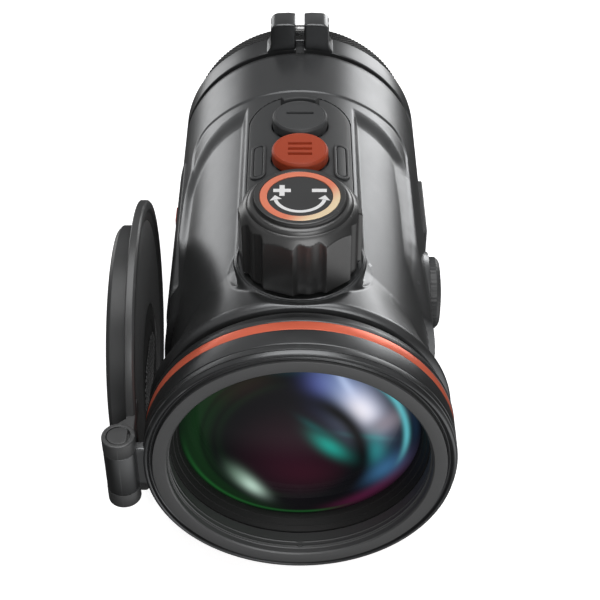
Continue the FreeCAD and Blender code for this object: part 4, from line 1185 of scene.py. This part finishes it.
def make_cap():
    disc = sideways([
        (FACE_X - 2.1, 0.0), (FACE_X - 2.1, 33.8, 0.25), (FACE_X - 1.9, 34.0, 0.2),
        (FACE_X - 0.5, 34.0, 0.25), (FACE_X - 0.05, 33.55, 0.25), (FACE_X, 33.1, 0.2),
        (FACE_X, 31.9, 0.3), (FACE_X - 0.45, 31.2, 0.3), (FACE_X - 0.62, 29.2, 0.5),
        (FACE_X - 1.2, 29.0), (FACE_X - 1.2, 0.0)], CAP_S, 0, 256)
    dish = slab(circle(0, 0, 29.25, 160), lambda y, z, h: (
        FACE_X - 0.62 + h, FRONT + CAP_S + y, AXIS + z), 0.6, 0.08,
        [circle(0, -INLAY_DROP, 16.1, 96)], (), 0.3, 3.0)
    # the dish on the face gets the lighter copy of the cap's finish (painted light)
    shells = [disc, dish + (PAINTED_LIT_DISH,)]
    top, low = HINGE_HALF, KNUCKLE + 0.05
    for side in (-1, 1):
        profile = [(side * low, 1.66), (side * low, 3.6, 0.12), (side * top, 3.6, 0.35)]
        if side > 0:
            profile += [(top, 2.62, 0.12), (top - 1.0, 2.56), (top - 1.0, 1.66)]
        else:
            profile += [(-top, 1.66)]
        shells.append(upright(profile, HINGE_S, HINGE_X, 128))
        arm = [(FACE_X - 0.02, HINGE_S + 1.1), (FACE_X - 0.02, 12.0), (FACE_X - 2.0, 12.0),
               (FACE_X - 2.0, 6.0), (HINGE_X - 1.1, HINGE_S + 3.1)]
        level = top - 0.12 if side > 0 else -low
        shells.append(slab(thick(arm), lambda x, s, h, level=level: (x, FRONT + s,
                                                                     AXIS + level + h),
                           top - low - 0.14, 0.3))
    piece("cap_disc_looks", shells, CAP, "lens_cap", ["cap_disc"], 34)

    back = FACE_X - 2.1
    plug = sideways([
        (back, 0.0), (back, 28.1), (back - 3.9, 28.1, 0.4), (back - 4.75, 27.2, 0.5),
        (back - 4.9, 26.4, 0.2), (back - 4.9, 24.4, 0.3), (back - 4.6, 24.1, 0.2),
        (back - 1.6, 24.0, 0.3), (back - 1.5, 23.6, 0.2), (back - 1.5, 0.0)], CAP_S, 0, 256)
    piece("cap_plug_looks", [plug], PLUG, "lens_cap", ["cap_plug"])

    inlay = sideways([
        (FACE_X - 1.2, 0.0), (FACE_X - 1.2, 15.8), (FACE_X - 0.78, 15.8, 0.15),
        (FACE_X - 0.72, 15.3, 0.1), (FACE_X - 0.72, 12.6, 0.1), (FACE_X - 0.95, 12.3, 0.1),
        (FACE_X - 0.95, 0.0)], CAP_S, -INLAY_DROP, 192)
    piece("cap_inlay_looks", [inlay], DISC, "lens_cap", ["cap_inlay"])
    grown("cap_honeycomb", PATCH_STUDS, "lens_cap", "panel_plastic", across=20, rows=12,
          x=(FACE_X - 0.86) * MM, y=(FRONT + CAP_S) * MM, z=(AXIS - INLAY_DROP) * MM,
          pitch=1.3 * MM,
          half_y=12.0 * MM, half_z=6.0 * MM, stud=0.62 * MM, rise=0.30 * MM, finish=CAP)

    pin = upright([(-HINGE_HALF + 0.2, 0.0), (-HINGE_HALF + 0.2, 1.6, 0.2),
                   (HINGE_HALF - 0.95, 1.6), (HINGE_HALF - 0.95, 0.0)], HINGE_S, HINGE_X, 64)
    d_shape = arc(2.45, range(40, 321, 7), HINGE_X, HINGE_S)
    head = slab(thick(d_shape), lambda x, s, h: (x, FRONT + s, AXIS + HINGE_HALF - 0.12 + h),
                0.85, 0.12)
    piece("hinge_pin_looks", [pin, head], CAP, "camera", ["hinge_pin"])


make_head()
make_housing()
make_controls()
make_knob()
make_sides()
make_rear()
make_cap()


# ------------------------------------------------------------------ stage, light, camera

def make_stage():
    mesh = bpy.data.meshes.new("floor")
    flat, bend, high, around = 1.6, 0.6, 2.4, 96
    line = [(0.4, 0.0), (flat, 0.0)]
    line += [(flat + bend * math.sin(math.radians(t)), bend - bend * math.cos(math.radians(t)))
             for t in range(6, 91, 6)]
    line += [(flat + bend, high)]
    points = [(0, 0, -0.0002)]
    for radius, height in line:
        points += [(x, y, height - 0.0002) for x, y in circle(0, 0, radius, around)]
    faces = [(0, 1 + k, 1 + (k + 1) % around) for k in range(around)]
    faces += [face[::-1] for face in lattice(len(line), around, False, 1)]
    mesh.from_pydata(points, [], faces)
    mesh.shade_smooth()
    f = Finish("pale_floor")
    grain = f.noise(40, 3.0)
    mesh.materials.append(f.surface(
        Base_Color=f.blend(grain * 0.3, (0.86, 0.86, 0.86, 1), (0.83, 0.83, 0.83, 1)),
        Roughness=0.9, Specular_IOR_Level=0.1,
        Emission_Color=(1.0, 1.0, 1.0, 1), Emission_Strength=0.80))
    f.material.cycles.emission_sampling = "NONE"
    floor = bpy.data.objects.new("floor", mesh)
    bpy.context.scene.collection.objects.link(floor)
    floor.visible_glossy = False
    floor.visible_diffuse = False
    floor.visible_shadow = False


def softbox(name, spot, aim, width, height, power, tint=(1, 1, 1)):
    light = bpy.data.lights.new(name, "AREA")
    light.shape = "RECTANGLE"
    light.size, light.size_y = width, height
    light.energy = power
    light.color = tint
    lamp = bpy.data.objects.new(name, light)
    bpy.context.scene.collection.objects.link(lamp)
    lamp.location = spot
    lamp.rotation_euler = (Vector(aim) - Vector(spot)).to_track_quat("-Z", "Y").to_euler()
    lamp.visible_camera = False
    return lamp


make_stage()
softbox("right_rear", (0.50, 0.80, 0.17), (0, 0, 0.04), 0.30, 0.50, 2.3)
softbox("left_rear", (-0.58, 0.74, 0.08), (0, 0, 0.04), 0.38, 0.44, 1.4)
softbox("overhead", (0.0, 0.0, 1.1), (0, 0, 0), 0.9, 0.9, 8)
softbox("front_fill", (0.25, -0.9, 0.65), (0, 0, 0.03), 0.8, 0.4, 3)

world = bpy.data.worlds.new("studio")
world.use_nodes = True
room = Graph(world.node_tree)
ray = room.node("ShaderNodeTexCoord", output="Generated")
aside = room.node("ShaderNodeSeparateXYZ", None, {0: ray})
back, up = room.others(aside, "Y", "Z")
low = up.step(-0.82, -0.62) * (-up).step(0.10, 0.35)
low_front = low * (-back + aside * 0.6).step(-0.25, 0.9) * (aside * 0.6 + 0.76)
sky = world.node_tree.nodes["Background"]
sky.inputs["Color"].default_value = (1, 1, 1, 1)
strength = up.hump(0.50, 0.17) * 0.42 + low_front + 0.04
world.node_tree.links.new(strength.socket, sky.inputs["Strength"])
scene = bpy.context.scene
scene.world = world
scene.view_settings.view_transform = "Standard"

lens = bpy.data.cameras.new("camera")
lens.lens, lens.sensor_width = 85.28, 36.0
lens.clip_start, lens.clip_end = 0.01, 20.0
camera = bpy.data.objects.new("camera", lens)
camera.location = (0, -0.26794, 0.26504)
camera.rotation_euler = (math.radians(90 - 41.19), 0, 0)
scene.collection.objects.link(camera)
scene.camera = camera
